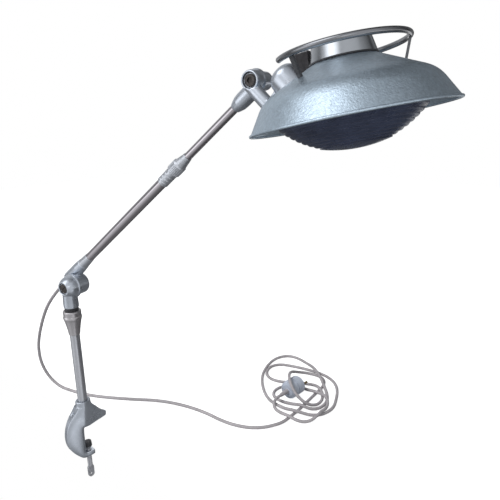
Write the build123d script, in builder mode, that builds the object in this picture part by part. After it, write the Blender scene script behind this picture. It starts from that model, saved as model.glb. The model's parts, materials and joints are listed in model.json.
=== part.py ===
from build123d import *
import os
from math import asin, atan2, cos, pi, radians, sin, sqrt, tan

# Clamp-on architect desk lamp: a screw clamp, a stem, a telescopic arm and a tilting shade.
# Millimetres, +Z up. The origin is on the stem's axis at the jaw face that rests on the table, so the
# table top is the plane Z = 0. The arm reaches out along +X, and the table lies towards +Y.

os.makedirs("parts", exist_ok=True)

# ---------------------------------------------------------------- driving dimensions
# Clearances
running = 0.05  # radial, for a pin or tube that turns or slides in its bore
side_gap = 0.3  # between faces that move past each other
seat_gap = 0.03  # between pieces of one body that sit in each other

# Clamp
jaw_azimuth = 78.0  # direction that the jaw points, from +X towards +Y
throat_height = 40.0  # jaw face down to the pad
throat_depth = 8.5  # stem axis back to the inside of the frame
jaw_reach = 46.0  # stem axis to the tip of the jaw
jaw_tip_thickness = 10.0
frame_width = 26.0
frame_back = 41.0  # stem axis back to the outside of the frame
socket_top = 53.0
socket_foot = 43.0  # where the frame and the jaw run into the socket
socket_radius = 14.5
boss_bottom = -69.0
boss_height = 10.0
boss_radius = 9.5
set_screw_height = 31.0
set_screw_radius = 3.0
set_screw_length = 10.0
screw_radius = 4.8
screw_tip_radius = 3.0
screw_below_boss = 26.0  # round length that shows under the boss
tab_length = 27.0
tab_width = 12.5
tab_thickness = 4.5
tab_hole_radius = 2.6
pad_radius = 7.8
pad_height = 10.0
pad_cup_height = 4.5

# Stem and its cup
stem_radius = 9.0
stem_wall = 2.0
stem_seat = 13.0  # bottom of the stem in its socket
cup_top = 240.0
cup_length = 48.0
cup_radius = 16.8
tube_in_cup = 20.0
spigot_radius = 9.0
spigot_length = 25.0
gasket_height = 6.0
gasket_radius = 12.6
neck_radius = 13.8
pin_in_neck = 16.0
grub_azimuth = -112.0
grub_radius = 2.2

# Shoulder joint, its axis along Y
shoulder_rise = 45.0  # the cup's top to the joint's axis
shoulder_front = -14.0  # Y of the small front face
shoulder_face_radius = 12.5
shoulder_flange = 11.0  # Y of the face that slides on the arm's casting
shoulder_flange_radius = 22.0
shoulder_rear = 35.0
shoulder_rear_radius = 19.0
shoulder_bolt_radius = 6.0
shoulder_nut_size = 16.0
recess_depth = 4.0
bolt_head_height = 3.2
slot_width = 1.8
nut_recess = 7.0
nut_height = 5.0

# Arm
arm_y = 23.0
arm_offset = 20.7  # the arm's axis passes this far beside the shoulder's
arm_angle = 38.4  # above the horizontal
arm_reach = 525.0  # along the arm, from beside the shoulder to the elbow's axis
arm_casting_radius = 11.5
arm_casting_start = -17.0
arm_casting_end = 41.0
ferrule_end = 66.0
lower_tube_radius = 8.0
lower_tube_bore = 7.0
lower_tube_start = 24.0
lower_tube_end = 324.0
collar_start = 298.0
collar_end = 326.0
collar_radius = 9.2
collar_rings = 4
nut_radius = 11.0
nut_end = 364.0
nut_grips = 24
bush_start = 300.0
bush_end = 350.0
upper_tube_radius = 6.0
upper_tube_bore = 5.0
upper_tube_start = 170.0
guide_length = 12.0
elbow_casting_length = 54.0  # its mouth on the tube to the elbow's axis
elbow_tube_gap = 18.0  # between the end of the tube and the elbow's eye
elbow_casting_radius = 11.0

# Elbow joint, its axis along Y
elbow_front = -7.5
elbow_face_radius = 11.8
elbow_flange = 11.3
elbow_flange_radius = 15.0
elbow_rear = 34.3
elbow_eye_radius = 12.0
elbow_bolt_radius = 4.0
elbow_nut_size = 12.0

# Head, in its own frame: u away from the arm, v along +Y, w up the shade's axis from the rim's plane
head_tilt = 11.3
elbow_u = -121.0
elbow_w = 70.8
rim_radius = 117.6
rim_bead_radius = 1.7
shade_wall = 1.2
shade_knee_radius = 97.0
shade_knee_height = 34.6
shade_knee_round = 40.0
shade_top_radius = 36.5
shade_top_height = 64.2
glass_sphere_radius = 116.0
glass_edge_height = 3.0  # the bowl's sphere meets its rim here
glass_wall = 3.0
glass_radius = 84.0
glass_lip = 5.0
glass_disc_radius = 41.0
glass_disc_step = 2.0
glass_disc_bulge = 5.7
glass_ribs = 7
rib_height = 1.2
ring_height = 8.0
ring_thickness = 1.5
holder_radius = 20.0
holder_length = 30.0
bulb_cap_radius = 13.0
bulb_cap_length = 22.0
bulb_radius = 25.0
bulb_gap = 3.0  # between the bulb and the bowl
seam_height = 1.6
cap_radius = 38.0
cap_top_radius = 33.0
cap_height = 20.5
cap_wall = 1.5
cap_round = 5.0

# The bracket between the elbow and the shade
stub_angle = -54.4  # direction of the stub, from the u axis
stub_radius = 9.0
stub_offset = 6.0
turret_offset = 38.0  # the turret's axis beside the stub's
turret_start = 22.0
turret_radius = 19.0
turret_round = 11.0
web_thickness = 15.0
nipple_radius = 7.0

# Handle and switch
handle_ring_radius = 73.0
handle_bar_radius = 3.3
handle_bar_wall = 1.2
handle_plug_depth = 6.0
handle_plug_cap = 1.6
handle_height = 75.0
handle_start = -136.0  # direction of the handle's first end, from the u axis towards +Y
handle_sweep = 290.0
strut_directions = (-114.0, 16.0, 146.0)
strut_width = 6.0
strut_thickness = 3.0
strut_lean = 10.0
strut_foot = 44.0
housing_u = (-56.0, -36.0)
housing_v = (-8.0, 16.0)
housing_top = 84.0
switch_collar_radius = 5.5
switch_depth = 12.0
switch_collar_height = 2.4
lever_radius = 1.8
lever_length = 9.0
lever_tail = 6.0
lever_ball_radius = 3.3
lever_pin_radius = 0.7

# Cord and plug
cord_radius = 3.2
grommet_length = 22.0
cord_first_run = 62.0
coil_centre = (297.0, 327.0)
coil_size = (140.0, 90.0)
coil_hole = (86.0, 50.0)
coil_direction = 127.0
coil_height = 24.0
coil_top_inset = 15.0
plug_radius = 19.0
plug_length = 38.0
plug_split = 18.0
plug_place = (300.1, 278.1)
plug_azimuth = 80.0
plug_pin_pitch = 19.0
plug_pin_radius = 2.4
plug_pin_length = 19.0
plug_bush_length = 20.0

# ---------------------------------------------------------------- frames that follow from them
def in_xz(angle):
    """The unit vector at this angle above +X, in the plane that the arm moves in."""
    return Vector(cos(radians(angle)), 0, sin(radians(angle)))


def in_plan(azimuth):
    """The unit vector at this angle from +X, in the plane of the table."""
    return Vector(cos(radians(azimuth)), sin(radians(azimuth)), 0)


arm_direction = in_xz(arm_angle)
arm_normal = in_xz(arm_angle + 90)
cup_bottom = cup_top - cup_length
shoulder_height = cup_top + shoulder_rise
shoulder = Vector(0, 0, shoulder_height)
arm_foot = shoulder + arm_normal * arm_offset + Vector(0, arm_y, 0)
elbow = shoulder + arm_normal * arm_offset + arm_direction * arm_reach
elbow_casting_start = arm_reach - elbow_casting_length
upper_tube_end = arm_reach - elbow_eye_radius - elbow_tube_gap
arm_section = Plane(origin=arm_foot, x_dir=arm_direction, z_dir=(0, -1, 0))
arm_axis = Axis(arm_foot, arm_direction)
shoulder_section = Plane(origin=shoulder, x_dir=(1, 0, 0), z_dir=(0, 0, 1))
shoulder_axis = Axis(shoulder, (0, 1, 0))
elbow_section = Plane(origin=elbow, x_dir=(1, 0, 0), z_dir=(0, 0, 1))
elbow_axis = Axis(elbow, (0, 1, 0))

head_u = in_xz(head_tilt)
head_w = in_xz(head_tilt + 90)
rim_centre = elbow - head_u * elbow_u - head_w * elbow_w
head_section = Plane(origin=rim_centre, x_dir=head_u, z_dir=(0, -1, 0))
head_axis = Axis(rim_centre, head_w)

jaw = in_plan(jaw_azimuth)
clamp_section = Plane(origin=(0, 0, 0), x_dir=jaw, z_dir=(jaw.Y, -jaw.X, 0))
stem_section = Plane.XZ


def arm_station(distance):
    """The plane across the arm at this distance along it."""
    return Plane(origin=arm_foot + arm_direction * distance, x_dir=(0, 1, 0), z_dir=arm_direction)


def head_level(height):
    """The plane across the shade's axis at this height above the rim."""
    return Plane(origin=rim_centre + head_w * height, x_dir=head_u, z_dir=head_w)


def head_radial(angle):
    """The plane through the shade's axis that faces this way: local x outwards, local y up the axis."""
    outwards = head_u * cos(radians(angle)) + Vector(0, 1, 0) * sin(radians(angle))
    return Plane(origin=rim_centre, x_dir=outwards, z_dir=outwards.cross(head_w))


def turned(section, axis, points, mode=Mode.ADD):
    """A turned form: the closed outline through these points of a section, revolved about the axis."""
    with BuildSketch(section) as profile:
        with BuildLine():
            Polyline(*points, close=True)
        make_face()
    revolve(profile.sketch, axis=axis, mode=mode)


def bored(section, axis, radius, start, end):
    """A round hole about an axis, for a section whose local x is the radius."""
    turned(section, axis, [(0, start), (radius, start), (radius, end), (0, end)], Mode.SUBTRACT)


def save(piece, name):
    """Labels a finished piece and writes it as its own file."""
    piece.label = name
    export_step(piece, f"parts/{name}.step")


# ---------------------------------------------------------------- clamp
boss_top = boss_bottom + boss_height
throat_wall = -throat_depth
jaw_shoulder = frame_width / 2 + 3

with BuildPart() as clamp_body:
    with BuildSketch(clamp_section):
        with BuildLine():
            Line((throat_wall, 0), (jaw_reach - 3, 0))
            ThreePointArc((jaw_reach - 3, 0), (jaw_reach, 4.5), (jaw_reach - 3, jaw_tip_thickness))
            Spline((jaw_reach - 3, jaw_tip_thickness), (jaw_reach - 18, jaw_tip_thickness + 15),
                (socket_radius, socket_foot), tangents=[(-1, 0.4), (-0.3, 1)])
            Line((socket_radius, socket_foot), (-socket_radius, socket_foot))
            Spline((-socket_radius, socket_foot), (11.7 - frame_back, socket_foot - 18.7), (-frame_back, -3),
                (6 - frame_back, boss_bottom + 25.4), (21 - frame_back, boss_bottom + 6),
                (-boss_radius, boss_bottom), tangents=[(-0.55, -1), (1, -0.2)])
            Line((-boss_radius, boss_bottom), (boss_radius, boss_bottom))
            Line((boss_radius, boss_bottom), (boss_radius, boss_top))
            FilletPolyline((boss_radius, boss_top), (throat_wall - 1, boss_top), (throat_wall, 0), radius=4)
        make_face()
    extrude(amount=frame_width / 2, both=True)
    with BuildSketch(Plane(origin=(0, 0, boss_bottom - 1), x_dir=jaw, z_dir=(0, 0, 1))):
        with BuildLine():
            Line((-frame_back - 1, -frame_width * 0.32), (-frame_back - 1, frame_width * 0.32))
            Line((-frame_back - 1, frame_width * 0.32), (-jaw_shoulder, frame_width / 2))
            Line((-jaw_shoulder, frame_width / 2), (jaw_shoulder, frame_width / 2))
            Line((jaw_shoulder, frame_width / 2), (jaw_reach - 5, 8))
            ThreePointArc((jaw_reach - 5, 8), (jaw_reach, 0), (jaw_reach - 5, -8))
            Line((jaw_reach - 5, -8), (jaw_shoulder, -frame_width / 2))
            Line((jaw_shoulder, -frame_width / 2), (-jaw_shoulder, -frame_width / 2))
            Line((-jaw_shoulder, -frame_width / 2), (-frame_back - 1, -frame_width * 0.32))
        make_face()
    extrude(amount=socket_top - boss_bottom, mode=Mode.INTERSECT)
    turned(stem_section, Axis.Z, [(0, 5), (socket_radius + 3.5, 5), (socket_radius + 3, 22),
        (socket_radius, socket_top - 6), (socket_radius, socket_top), (0, socket_top)])
    bored(stem_section, Axis.Z, stem_radius + seat_gap, stem_seat, socket_top + 1)
    bored(stem_section, Axis.Z, screw_radius + running, boss_bottom - 1, boss_top + 1)
    with BuildSketch(Plane(origin=(0, 0, set_screw_height), x_dir=(0, 0, 1), z_dir=-jaw)):
        Circle(set_screw_radius + seat_gap)
    extrude(amount=frame_back + 5, mode=Mode.SUBTRACT)
save(clamp_body.part, "clamp_body")

with BuildPart() as stem_set_screw:
    with BuildSketch(Plane(origin=-jaw * (stem_radius + seat_gap) + Vector(0, 0, set_screw_height),
            x_dir=(0, 0, 1), z_dir=-jaw)):
        Circle(set_screw_radius)
    extrude(amount=set_screw_length)
    with BuildSketch(Plane(origin=-jaw * (stem_radius + seat_gap + set_screw_length) + Vector(0, 0,
            set_screw_height), x_dir=(0, 0, 1), z_dir=jaw)):
        Rectangle(set_screw_radius * 2, 1.0)
    extrude(amount=1.6, mode=Mode.SUBTRACT)
save(stem_set_screw.part, "stem_set_screw")

with BuildPart() as stem_tube:
    turned(stem_section, Axis.Z, [(stem_radius - stem_wall, stem_seat), (stem_radius, stem_seat),
        (stem_radius, cup_bottom + tube_in_cup), (stem_radius - stem_wall, cup_bottom + tube_in_cup)])
save(stem_tube.part, "stem_tube")

spigot_bottom = cup_top - spigot_length
with BuildPart() as stem_cup:
    with BuildSketch(stem_section):
        with BuildLine():
            Line((stem_radius + seat_gap, cup_bottom), (stem_radius + 1.2, cup_bottom))
            Spline((stem_radius + 1.2, cup_bottom), (cup_radius - 4, cup_bottom + 17),
                (cup_radius - 0.9, cup_bottom + 31), tangents=[(0.1, 1), (0.25, 1)])
            ThreePointArc((cup_radius - 0.9, cup_bottom + 31), (cup_radius, cup_bottom + 34.5),
                (cup_radius - 0.9, cup_bottom + 38))
            Line((cup_radius - 0.9, cup_bottom + 38), (cup_radius - 0.4, cup_top - 2))
            ThreePointArc((cup_radius - 0.4, cup_top - 2), (cup_radius - 1.1, cup_top - 0.5),
                (cup_radius - 2.5, cup_top))
            Line((cup_radius - 2.5, cup_top), (spigot_radius + running, cup_top))
            Polyline((spigot_radius + running, cup_top), (spigot_radius + running, spigot_bottom - 0.5),
                (stem_radius - stem_wall, spigot_bottom - 0.5),
                (stem_radius - stem_wall, cup_bottom + tube_in_cup + side_gap),
                (stem_radius + seat_gap, cup_bottom + tube_in_cup + side_gap),
                (stem_radius + seat_gap, cup_bottom))
        make_face()
    revolve(axis=Axis.Z)
save(stem_cup.part, "stem_cup")

# The screw's tip turns in a steel cup that carries the rubber pad.
pad_top = -throat_height
cup_plate_top = pad_top - pad_height
cup_plate_bottom = cup_plate_top - pad_cup_height
with BuildPart() as jaw_pad:
    turned(stem_section, Axis.Z, [(0, cup_plate_top), (pad_radius, cup_plate_top),
        (pad_radius - 0.8, pad_top), (0, pad_top)])
    fillet(jaw_pad.edges().group_by(Axis.Z)[-1], 1.0)
save(jaw_pad.part, "jaw_pad")

with BuildPart() as pad_cup:
    turned(stem_section, Axis.Z, [(0, cup_plate_bottom), (screw_tip_radius + 2.5, cup_plate_bottom),
                                  (pad_radius - 0.5, cup_plate_top), (0, cup_plate_top)])
    bored(stem_section, Axis.Z, screw_tip_radius + running, cup_plate_bottom - 1, cup_plate_top - 1.2)
save(pad_cup.part, "pad_cup")

screw_shoulder = boss_bottom - screw_below_boss
with BuildPart() as clamp_screw:
    turned(stem_section, Axis.Z, [(0, screw_shoulder - 3), (screw_radius, screw_shoulder - 3),
        (screw_radius, cup_plate_bottom - side_gap), (screw_tip_radius, cup_plate_bottom - side_gap),
        (screw_tip_radius, cup_plate_top - 1.2 - side_gap), (0, cup_plate_top - 1.2 - side_gap)])
    with BuildSketch(clamp_section):
        with Locations((0, screw_shoulder - tab_length / 2)):
            SlotOverall(tab_length, tab_width, rotation=90)
        with Locations((0, screw_shoulder - tab_length + tab_width / 2)):
            Circle(tab_hole_radius, mode=Mode.SUBTRACT)
    extrude(amount=tab_thickness / 2, both=True)
save(clamp_screw.part, "clamp_screw")

# ---------------------------------------------------------------- shoulder swivel
gasket_top = cup_top + gasket_height
with BuildPart() as swivel_gasket:
    rib_pitch = (gasket_height - side_gap) / 6
    ribs = [(gasket_radius - 0.5 * (step % 2), cup_top + side_gap + (step + 0.5) * rib_pitch)
            for step in range(6)]
    turned(stem_section, Axis.Z,
           [(spigot_radius + seat_gap, cup_top + side_gap), (gasket_radius - 0.5, cup_top + side_gap)] + ribs
           + [(gasket_radius - 0.5, gasket_top), (spigot_radius + seat_gap, gasket_top)])
save(swivel_gasket.part, "swivel_gasket")

with BuildPart() as swivel_pin:
    turned(stem_section, Axis.Z, [(0, spigot_bottom), (spigot_radius - 1, spigot_bottom),
        (spigot_radius, spigot_bottom + 1), (spigot_radius, gasket_top + pin_in_neck),
        (0, gasket_top + pin_in_neck)])
    bored(stem_section, Axis.Z, 3.0, spigot_bottom - 1, gasket_top + pin_in_neck + 1)
save(swivel_pin.part, "swivel_pin")

arm_knuckle_clear = shoulder_rear_radius + side_gap * 2
with BuildPart() as shoulder_knuckle:
    turned(stem_section, Axis.Z, [(0, gasket_top), (neck_radius - 0.6, gasket_top),
        (neck_radius, gasket_top + 2), (neck_radius - 0.8, shoulder_height - 14),
        (0, shoulder_height - 14)])
    turned(shoulder_section, shoulder_axis, [(0, shoulder_flange), (arm_knuckle_clear + 6, shoulder_flange),
                                             (arm_knuckle_clear + 6, 30), (0, 30)], Mode.SUBTRACT)
    with BuildSketch(shoulder_section):
        with BuildLine():
            Line((0, shoulder_front), (shoulder_face_radius, shoulder_front))
            Spline((shoulder_face_radius, shoulder_front),
                (shoulder_flange_radius - 3, shoulder_front + 10),
                (shoulder_flange_radius - 1.5, shoulder_flange - 6), tangents=[(0.5, 0.6), (0.05, 1)])
            Polyline((shoulder_flange_radius - 1.5, shoulder_flange - 6),
                (shoulder_flange_radius, shoulder_flange - 4.5),
                (shoulder_flange_radius, shoulder_flange - 0.8),
                (shoulder_flange_radius - 0.8, shoulder_flange), (0, shoulder_flange),
                (0, shoulder_front))
        make_face()
    revolve(axis=shoulder_axis)
    bored(shoulder_section, shoulder_axis, shoulder_face_radius - 2, shoulder_front - 1,
        shoulder_front + recess_depth)
    bored(shoulder_section, shoulder_axis, shoulder_bolt_radius + seat_gap, shoulder_front,
        shoulder_flange + 1)
    bored(stem_section, Axis.Z, spigot_radius + seat_gap, gasket_top - 1,
        gasket_top + pin_in_neck + side_gap)
    with BuildSketch(Plane(origin=(0, 0, gasket_top + 5), x_dir=(0, 0, 1), z_dir=in_plan(grub_azimuth))):
        Circle(grub_radius + seat_gap)
    extrude(amount=neck_radius + 2, mode=Mode.SUBTRACT)
save(shoulder_knuckle.part, "shoulder_knuckle")

with BuildPart() as neck_grub_screw:
    with BuildSketch(Plane(origin=in_plan(grub_azimuth) * (spigot_radius + seat_gap) + Vector(0, 0,
            gasket_top + 5), x_dir=(0, 0, 1), z_dir=in_plan(grub_azimuth))):
        Circle(grub_radius)
    extrude(amount=neck_radius - spigot_radius - 1)
save(neck_grub_screw.part, "neck_grub_screw")


def pivot_bolt(section, axis, front, rear, shaft, head, head_height):
    """A bolt along a joint: its head in the front recess, its shaft out to the nut at the rear."""
    turned(section, axis, [(0, front + side_gap), (head - 0.8, front + side_gap),
        (head, front + side_gap + 0.8), (head, front + head_height), (shaft, front + head_height),
        (shaft, rear), (0, rear)])


shoulder_recess = shoulder_front + recess_depth
shoulder_nut_seat = shoulder_rear - nut_recess
with BuildPart() as shoulder_bolt:
    pivot_bolt(shoulder_section, shoulder_axis, shoulder_recess - bolt_head_height,
        shoulder_nut_seat + nut_height, shoulder_bolt_radius, shoulder_face_radius - 4,
        bolt_head_height)
    with BuildSketch(Plane(origin=shoulder + Vector(0, shoulder_recess - bolt_head_height, 0),
            x_dir=in_xz(35), z_dir=(0, 1, 0))):
        Rectangle(shoulder_face_radius * 2, slot_width)
    extrude(amount=slot_width, mode=Mode.SUBTRACT)
save(shoulder_bolt.part, "shoulder_bolt")


def hex_nut(origin, bolt_radius, across_flats, height):
    """A hexagon nut on a bolt that runs along Y, from its seat towards +Y."""
    with BuildSketch(Plane(origin=origin, x_dir=(1, 0, 0), z_dir=(0, 1, 0))) as outline:
        RegularPolygon(across_flats / 2, 6, major_radius=False)
        Circle(bolt_radius + seat_gap, mode=Mode.SUBTRACT)
    extrude(outline.sketch, amount=height)


with BuildPart() as shoulder_nut:
    hex_nut(shoulder + Vector(0, shoulder_nut_seat + side_gap, 0), shoulder_bolt_radius,
        shoulder_nut_size, nut_height - side_gap)
save(shoulder_nut.part, "shoulder_nut")

# ---------------------------------------------------------------- lower arm
with BuildPart() as shoulder_casting:
    with BuildSketch(shoulder_section):
        with BuildLine():
            Line((0, shoulder_flange + side_gap), (shoulder_rear_radius, shoulder_flange + side_gap))
            Line((shoulder_rear_radius, shoulder_flange + side_gap),
                (shoulder_rear_radius, shoulder_rear - 8))
            ThreePointArc((shoulder_rear_radius, shoulder_rear - 8),
                (shoulder_rear_radius - 2.4, shoulder_rear - 2.4),
                (shoulder_rear_radius - 8, shoulder_rear))
            Polyline((shoulder_rear_radius - 8, shoulder_rear), (0, shoulder_rear),
                (0, shoulder_flange + side_gap))
        make_face()
    revolve(axis=shoulder_axis)
    turned(arm_section, arm_axis, [(arm_casting_start, 0), (arm_casting_start, arm_casting_radius - 1.5),
                                   (arm_casting_start + 2, arm_casting_radius), (24, arm_casting_radius),
                                   (arm_casting_end, arm_casting_radius - 1.2), (arm_casting_end, 0)])
    bored(shoulder_section, shoulder_axis, shoulder_bolt_radius + running, shoulder_flange - 1,
        shoulder_rear)
    bored(shoulder_section, shoulder_axis, shoulder_nut_size / 2 + 2.2, shoulder_nut_seat,
        shoulder_rear + 1)
    turned(arm_section, arm_axis, [(arm_casting_start - 1, 0), (arm_casting_start - 1, lower_tube_bore),
        (lower_tube_start - side_gap, lower_tube_bore),
        (lower_tube_start - side_gap, lower_tube_radius + seat_gap),
        (arm_casting_end + 1, lower_tube_radius + seat_gap), (arm_casting_end + 1, 0)], Mode.SUBTRACT)
save(shoulder_casting.part, "shoulder_casting")


def sleeve(bore, points):
    """A turned sleeve about the arm: its outside runs through these points, its bore is plain."""
    start, end = points[0][0], points[-1][0]
    turned(arm_section, arm_axis, [(start, bore)] + points + [(end, bore)])


with BuildPart() as tube_ferrule:
    sleeve(lower_tube_radius + seat_gap, [(arm_casting_end, arm_casting_radius - 1.6),
        (arm_casting_end + 8, lower_tube_radius + 1.4), (ferrule_end - 2, lower_tube_radius + 0.5),
        (ferrule_end, lower_tube_radius + 0.2)])
save(tube_ferrule.part, "tube_ferrule")

with BuildPart() as lower_tube:
    sleeve(lower_tube_bore, [(lower_tube_start, lower_tube_radius), (lower_tube_end, lower_tube_radius)])
save(lower_tube.part, "lower_tube")

with BuildPart() as collar_sleeve:
    ring_pitch = (collar_end - collar_start) / collar_rings
    outside = [(collar_start, collar_radius - 0.9), (collar_start + 1, collar_radius)]
    for ring in range(1, collar_rings):
        groove = collar_start + ring * ring_pitch
        outside += [(groove - 1, collar_radius), (groove, collar_radius - 0.8), (groove + 1, collar_radius)]
    sleeve(lower_tube_radius + seat_gap, outside + [(collar_end, collar_radius)])
save(collar_sleeve.part, "collar_sleeve")

# A split bush between the two tubes, squeezed onto the upper tube by the collar nut.
bush_head = collar_end + side_gap
with BuildPart() as clutch_bush:
    sleeve(upper_tube_radius + running, [(bush_start, lower_tube_bore - running),
        (bush_head, lower_tube_bore - running), (bush_head, lower_tube_radius + 0.8),
        (bush_head + 12, lower_tube_radius + 0.8), (bush_end, lower_tube_bore)])
    with BuildSketch(arm_station(bush_end + 1)):
        Rectangle(1.2, lower_tube_radius * 3)
    extrude(amount=-(bush_end - bush_head - 2), mode=Mode.SUBTRACT)
save(clutch_bush.part, "clutch_bush")

with BuildPart() as collar_nut:
    nut_start = collar_end + side_gap
    turned(arm_section, arm_axis, [(nut_start, lower_tube_radius + 0.8 + running),
        (nut_start, nut_radius - 1.2), (nut_start + 1.5, nut_radius), (nut_end - 20, nut_radius),
        (nut_end - 18, nut_radius - 1.5), (nut_end - 1, upper_tube_radius + 0.8),
        (nut_end, upper_tube_radius + 0.5), (nut_end, upper_tube_radius + running * 2),
        (bush_end + 1, upper_tube_radius + running * 2), (bush_end + 1, lower_tube_bore + 0.2),
        (bush_head + 12, lower_tube_radius + 0.8 + running)])
    with BuildSketch(arm_station(nut_start)):
        with PolarLocations(nut_radius + 0.35, nut_grips):
            Circle(0.8)
    extrude(amount=nut_end - 20 - nut_start, mode=Mode.SUBTRACT)
save(collar_nut.part, "collar_nut")

with BuildPart() as cord_grommet:
    grommet_seat = arm_casting_start + 8
    grommet_tip = arm_casting_start - grommet_length
    turned(arm_section, arm_axis, [(grommet_tip, 0), (grommet_tip, cord_radius + 1),
        (arm_casting_start - 3, lower_tube_bore - 0.8),
        (arm_casting_start - 0.1, lower_tube_radius + 1),
        (arm_casting_start - 0.1, lower_tube_bore - seat_gap),
        (grommet_seat, lower_tube_bore - seat_gap), (grommet_seat, 0)])
save(cord_grommet.part, "cord_grommet")

# ---------------------------------------------------------------- upper arm
with BuildPart() as upper_tube:
    sleeve(upper_tube_bore, [(upper_tube_start, upper_tube_radius), (upper_tube_end, upper_tube_radius)])
save(upper_tube.part, "upper_tube")

with BuildPart() as tube_guide:
    sleeve(upper_tube_radius + seat_gap, [(upper_tube_start, lower_tube_bore - running),
                                          (upper_tube_start + guide_length, lower_tube_bore - running)])
save(tube_guide.part, "tube_guide")

elbow_nut_seat = elbow_rear - nut_recess
with BuildPart() as elbow_casting:
    turned(arm_section, arm_axis, [(elbow_casting_start, 0),
        (elbow_casting_start, upper_tube_radius + 0.8),
        (elbow_casting_start + 5, elbow_casting_radius - 2.4),
        (elbow_casting_start + 11, elbow_casting_radius - 0.6),
        (elbow_casting_start + 18, elbow_casting_radius), (arm_reach, elbow_casting_radius),
        (arm_reach, 0)])
    turned(elbow_section, elbow_axis, [(0, elbow_flange + side_gap),
        (elbow_eye_radius, elbow_flange + side_gap), (elbow_eye_radius, elbow_rear - 3),
        (elbow_eye_radius - 3, elbow_rear), (0, elbow_rear)])
    bored(elbow_section, elbow_axis, elbow_bolt_radius + running, elbow_flange - 1, elbow_rear)
    bored(elbow_section, elbow_axis, elbow_nut_size / 2 + 1.4, elbow_nut_seat, elbow_rear + 1)
    turned(arm_section, arm_axis, [(elbow_casting_start - 1, 0),
        (elbow_casting_start - 1, upper_tube_radius + seat_gap),
        (upper_tube_end + seat_gap, upper_tube_radius + seat_gap), (upper_tube_end + seat_gap, 3),
        (arm_reach - 6, 3), (arm_reach - 6, 0)], Mode.SUBTRACT)
save(elbow_casting.part, "elbow_casting")

# ---------------------------------------------------------------- shade
skirt_slope = atan2(shade_knee_height, rim_radius - shade_knee_radius)
cone_slope = atan2(shade_top_height - shade_knee_height, shade_knee_radius - shade_top_radius)
knee_bisector = pi / 2 - (skirt_slope + cone_slope) / 2
knee_stretch = 1 / cos((skirt_slope - cone_slope) / 2)


def shade_line(gap):
    """The shade's outline from rim to knee to top, this far outside its outer face."""
    knee = (shade_knee_radius + gap * cos(knee_bisector) * knee_stretch,
        shade_knee_height + gap * sin(knee_bisector) * knee_stretch)
    return [(rim_radius + gap / sin(skirt_slope), 0), knee,
        (shade_top_radius, shade_top_height + gap / cos(cone_slope))]


def skirt_bore(height):
    """The radius inside the shade's skirt at this height above the rim."""
    return rim_radius - shade_wall / sin(skirt_slope) - height / tan(skirt_slope)


def shade_form(gap):
    """A solid that fills the shade, this far outside its outer face."""
    outline = shade_line(gap)
    with BuildSketch(head_section) as profile:
        with BuildLine():
            FilletPolyline(*outline, radius=shade_knee_round + gap)
            Polyline(outline[2], (0, outline[2][1]), (0, 0), outline[0])
        make_face()
    revolve(profile.sketch, axis=head_axis)


with BuildPart() as shade_space:
    shade_form(seat_gap)
with BuildPart() as shade_inside:
    shade_form(-shade_wall - seat_gap)

# The stub and the turret of the head's bracket stand on the shade side by side.
stub_direction = in_xz(head_tilt + stub_angle)
stub_normal = in_xz(head_tilt + stub_angle + 90)
stub_start = elbow - stub_normal * stub_offset
turret_top = stub_start + stub_normal * turret_offset + stub_direction * turret_start
turret_length = 34.0
turret_axis = Axis(turret_top, stub_direction)
turret_section = Plane(origin=turret_top, x_dir=stub_normal, z_dir=(0, -1, 0))
nipple_start = 12.0

with BuildPart() as head_bracket:
    with BuildSketch(elbow_section):
        with BuildLine():
            Line((0, elbow_front), (elbow_face_radius, elbow_front))
            Spline((elbow_face_radius, elbow_front), (elbow_flange_radius - 1.6, elbow_front + 7),
                   (elbow_flange_radius - 1, elbow_flange - 4.5), tangents=[(0.4, 0.7), (0.05, 1)])
            Polyline((elbow_flange_radius - 1, elbow_flange - 4.5),
                (elbow_flange_radius, elbow_flange - 3.5), (elbow_flange_radius, elbow_flange - 0.6),
                (elbow_flange_radius - 0.6, elbow_flange), (0, elbow_flange), (0, elbow_front))
        make_face()
    revolve(axis=elbow_axis)
    with BuildSketch(Plane(origin=stub_start, x_dir=(0, 1, 0), z_dir=stub_direction)):
        Circle(stub_radius)
    extrude(amount=60)
    with BuildSketch(turret_section):
        with BuildLine():
            Line((0, 0), (turret_radius - turret_round, 0))
            ThreePointArc((turret_radius - turret_round, 0),
                          (turret_radius - turret_round * (1 - sqrt(0.5)), -turret_round * (1 - sqrt(0.5))),
                          (turret_radius, -turret_round))
            Polyline((turret_radius, -turret_round), (turret_radius, -turret_length),
                (0, -turret_length), (0, 0))
        make_face()
    revolve(axis=turret_axis)
    with BuildSketch(turret_section):
        with BuildLine():
            Polyline((-turret_offset, -12), (-turret_offset, -turret_length), (0, -turret_length), (0, -6))
            Spline((0, -6), (-turret_offset / 2, -13), (-turret_offset, -12),
                tangents=[(-0.2, -1), (-1, 0.3)])
        make_face()
    extrude(amount=web_thickness / 2, both=True)
    with BuildSketch(Plane(origin=elbow + Vector(0, elbow_flange, 0), x_dir=(1, 0, 0), z_dir=(0, 1, 0))):
        Circle(elbow_flange_radius + 9)
    extrude(amount=20, mode=Mode.SUBTRACT)
    add(shade_space.part, mode=Mode.SUBTRACT)
    bored(elbow_section, elbow_axis, elbow_face_radius - 1.8, elbow_front - 1, elbow_front + recess_depth)
    bored(elbow_section, elbow_axis, elbow_bolt_radius + seat_gap, elbow_front, elbow_flange + 1)
    turned(turret_section, turret_axis, [(0, -nipple_start), (nipple_radius + seat_gap, -nipple_start),
        (nipple_radius + seat_gap, -turret_length), (0, -turret_length)], Mode.SUBTRACT)
save(head_bracket.part, "head_bracket")

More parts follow.
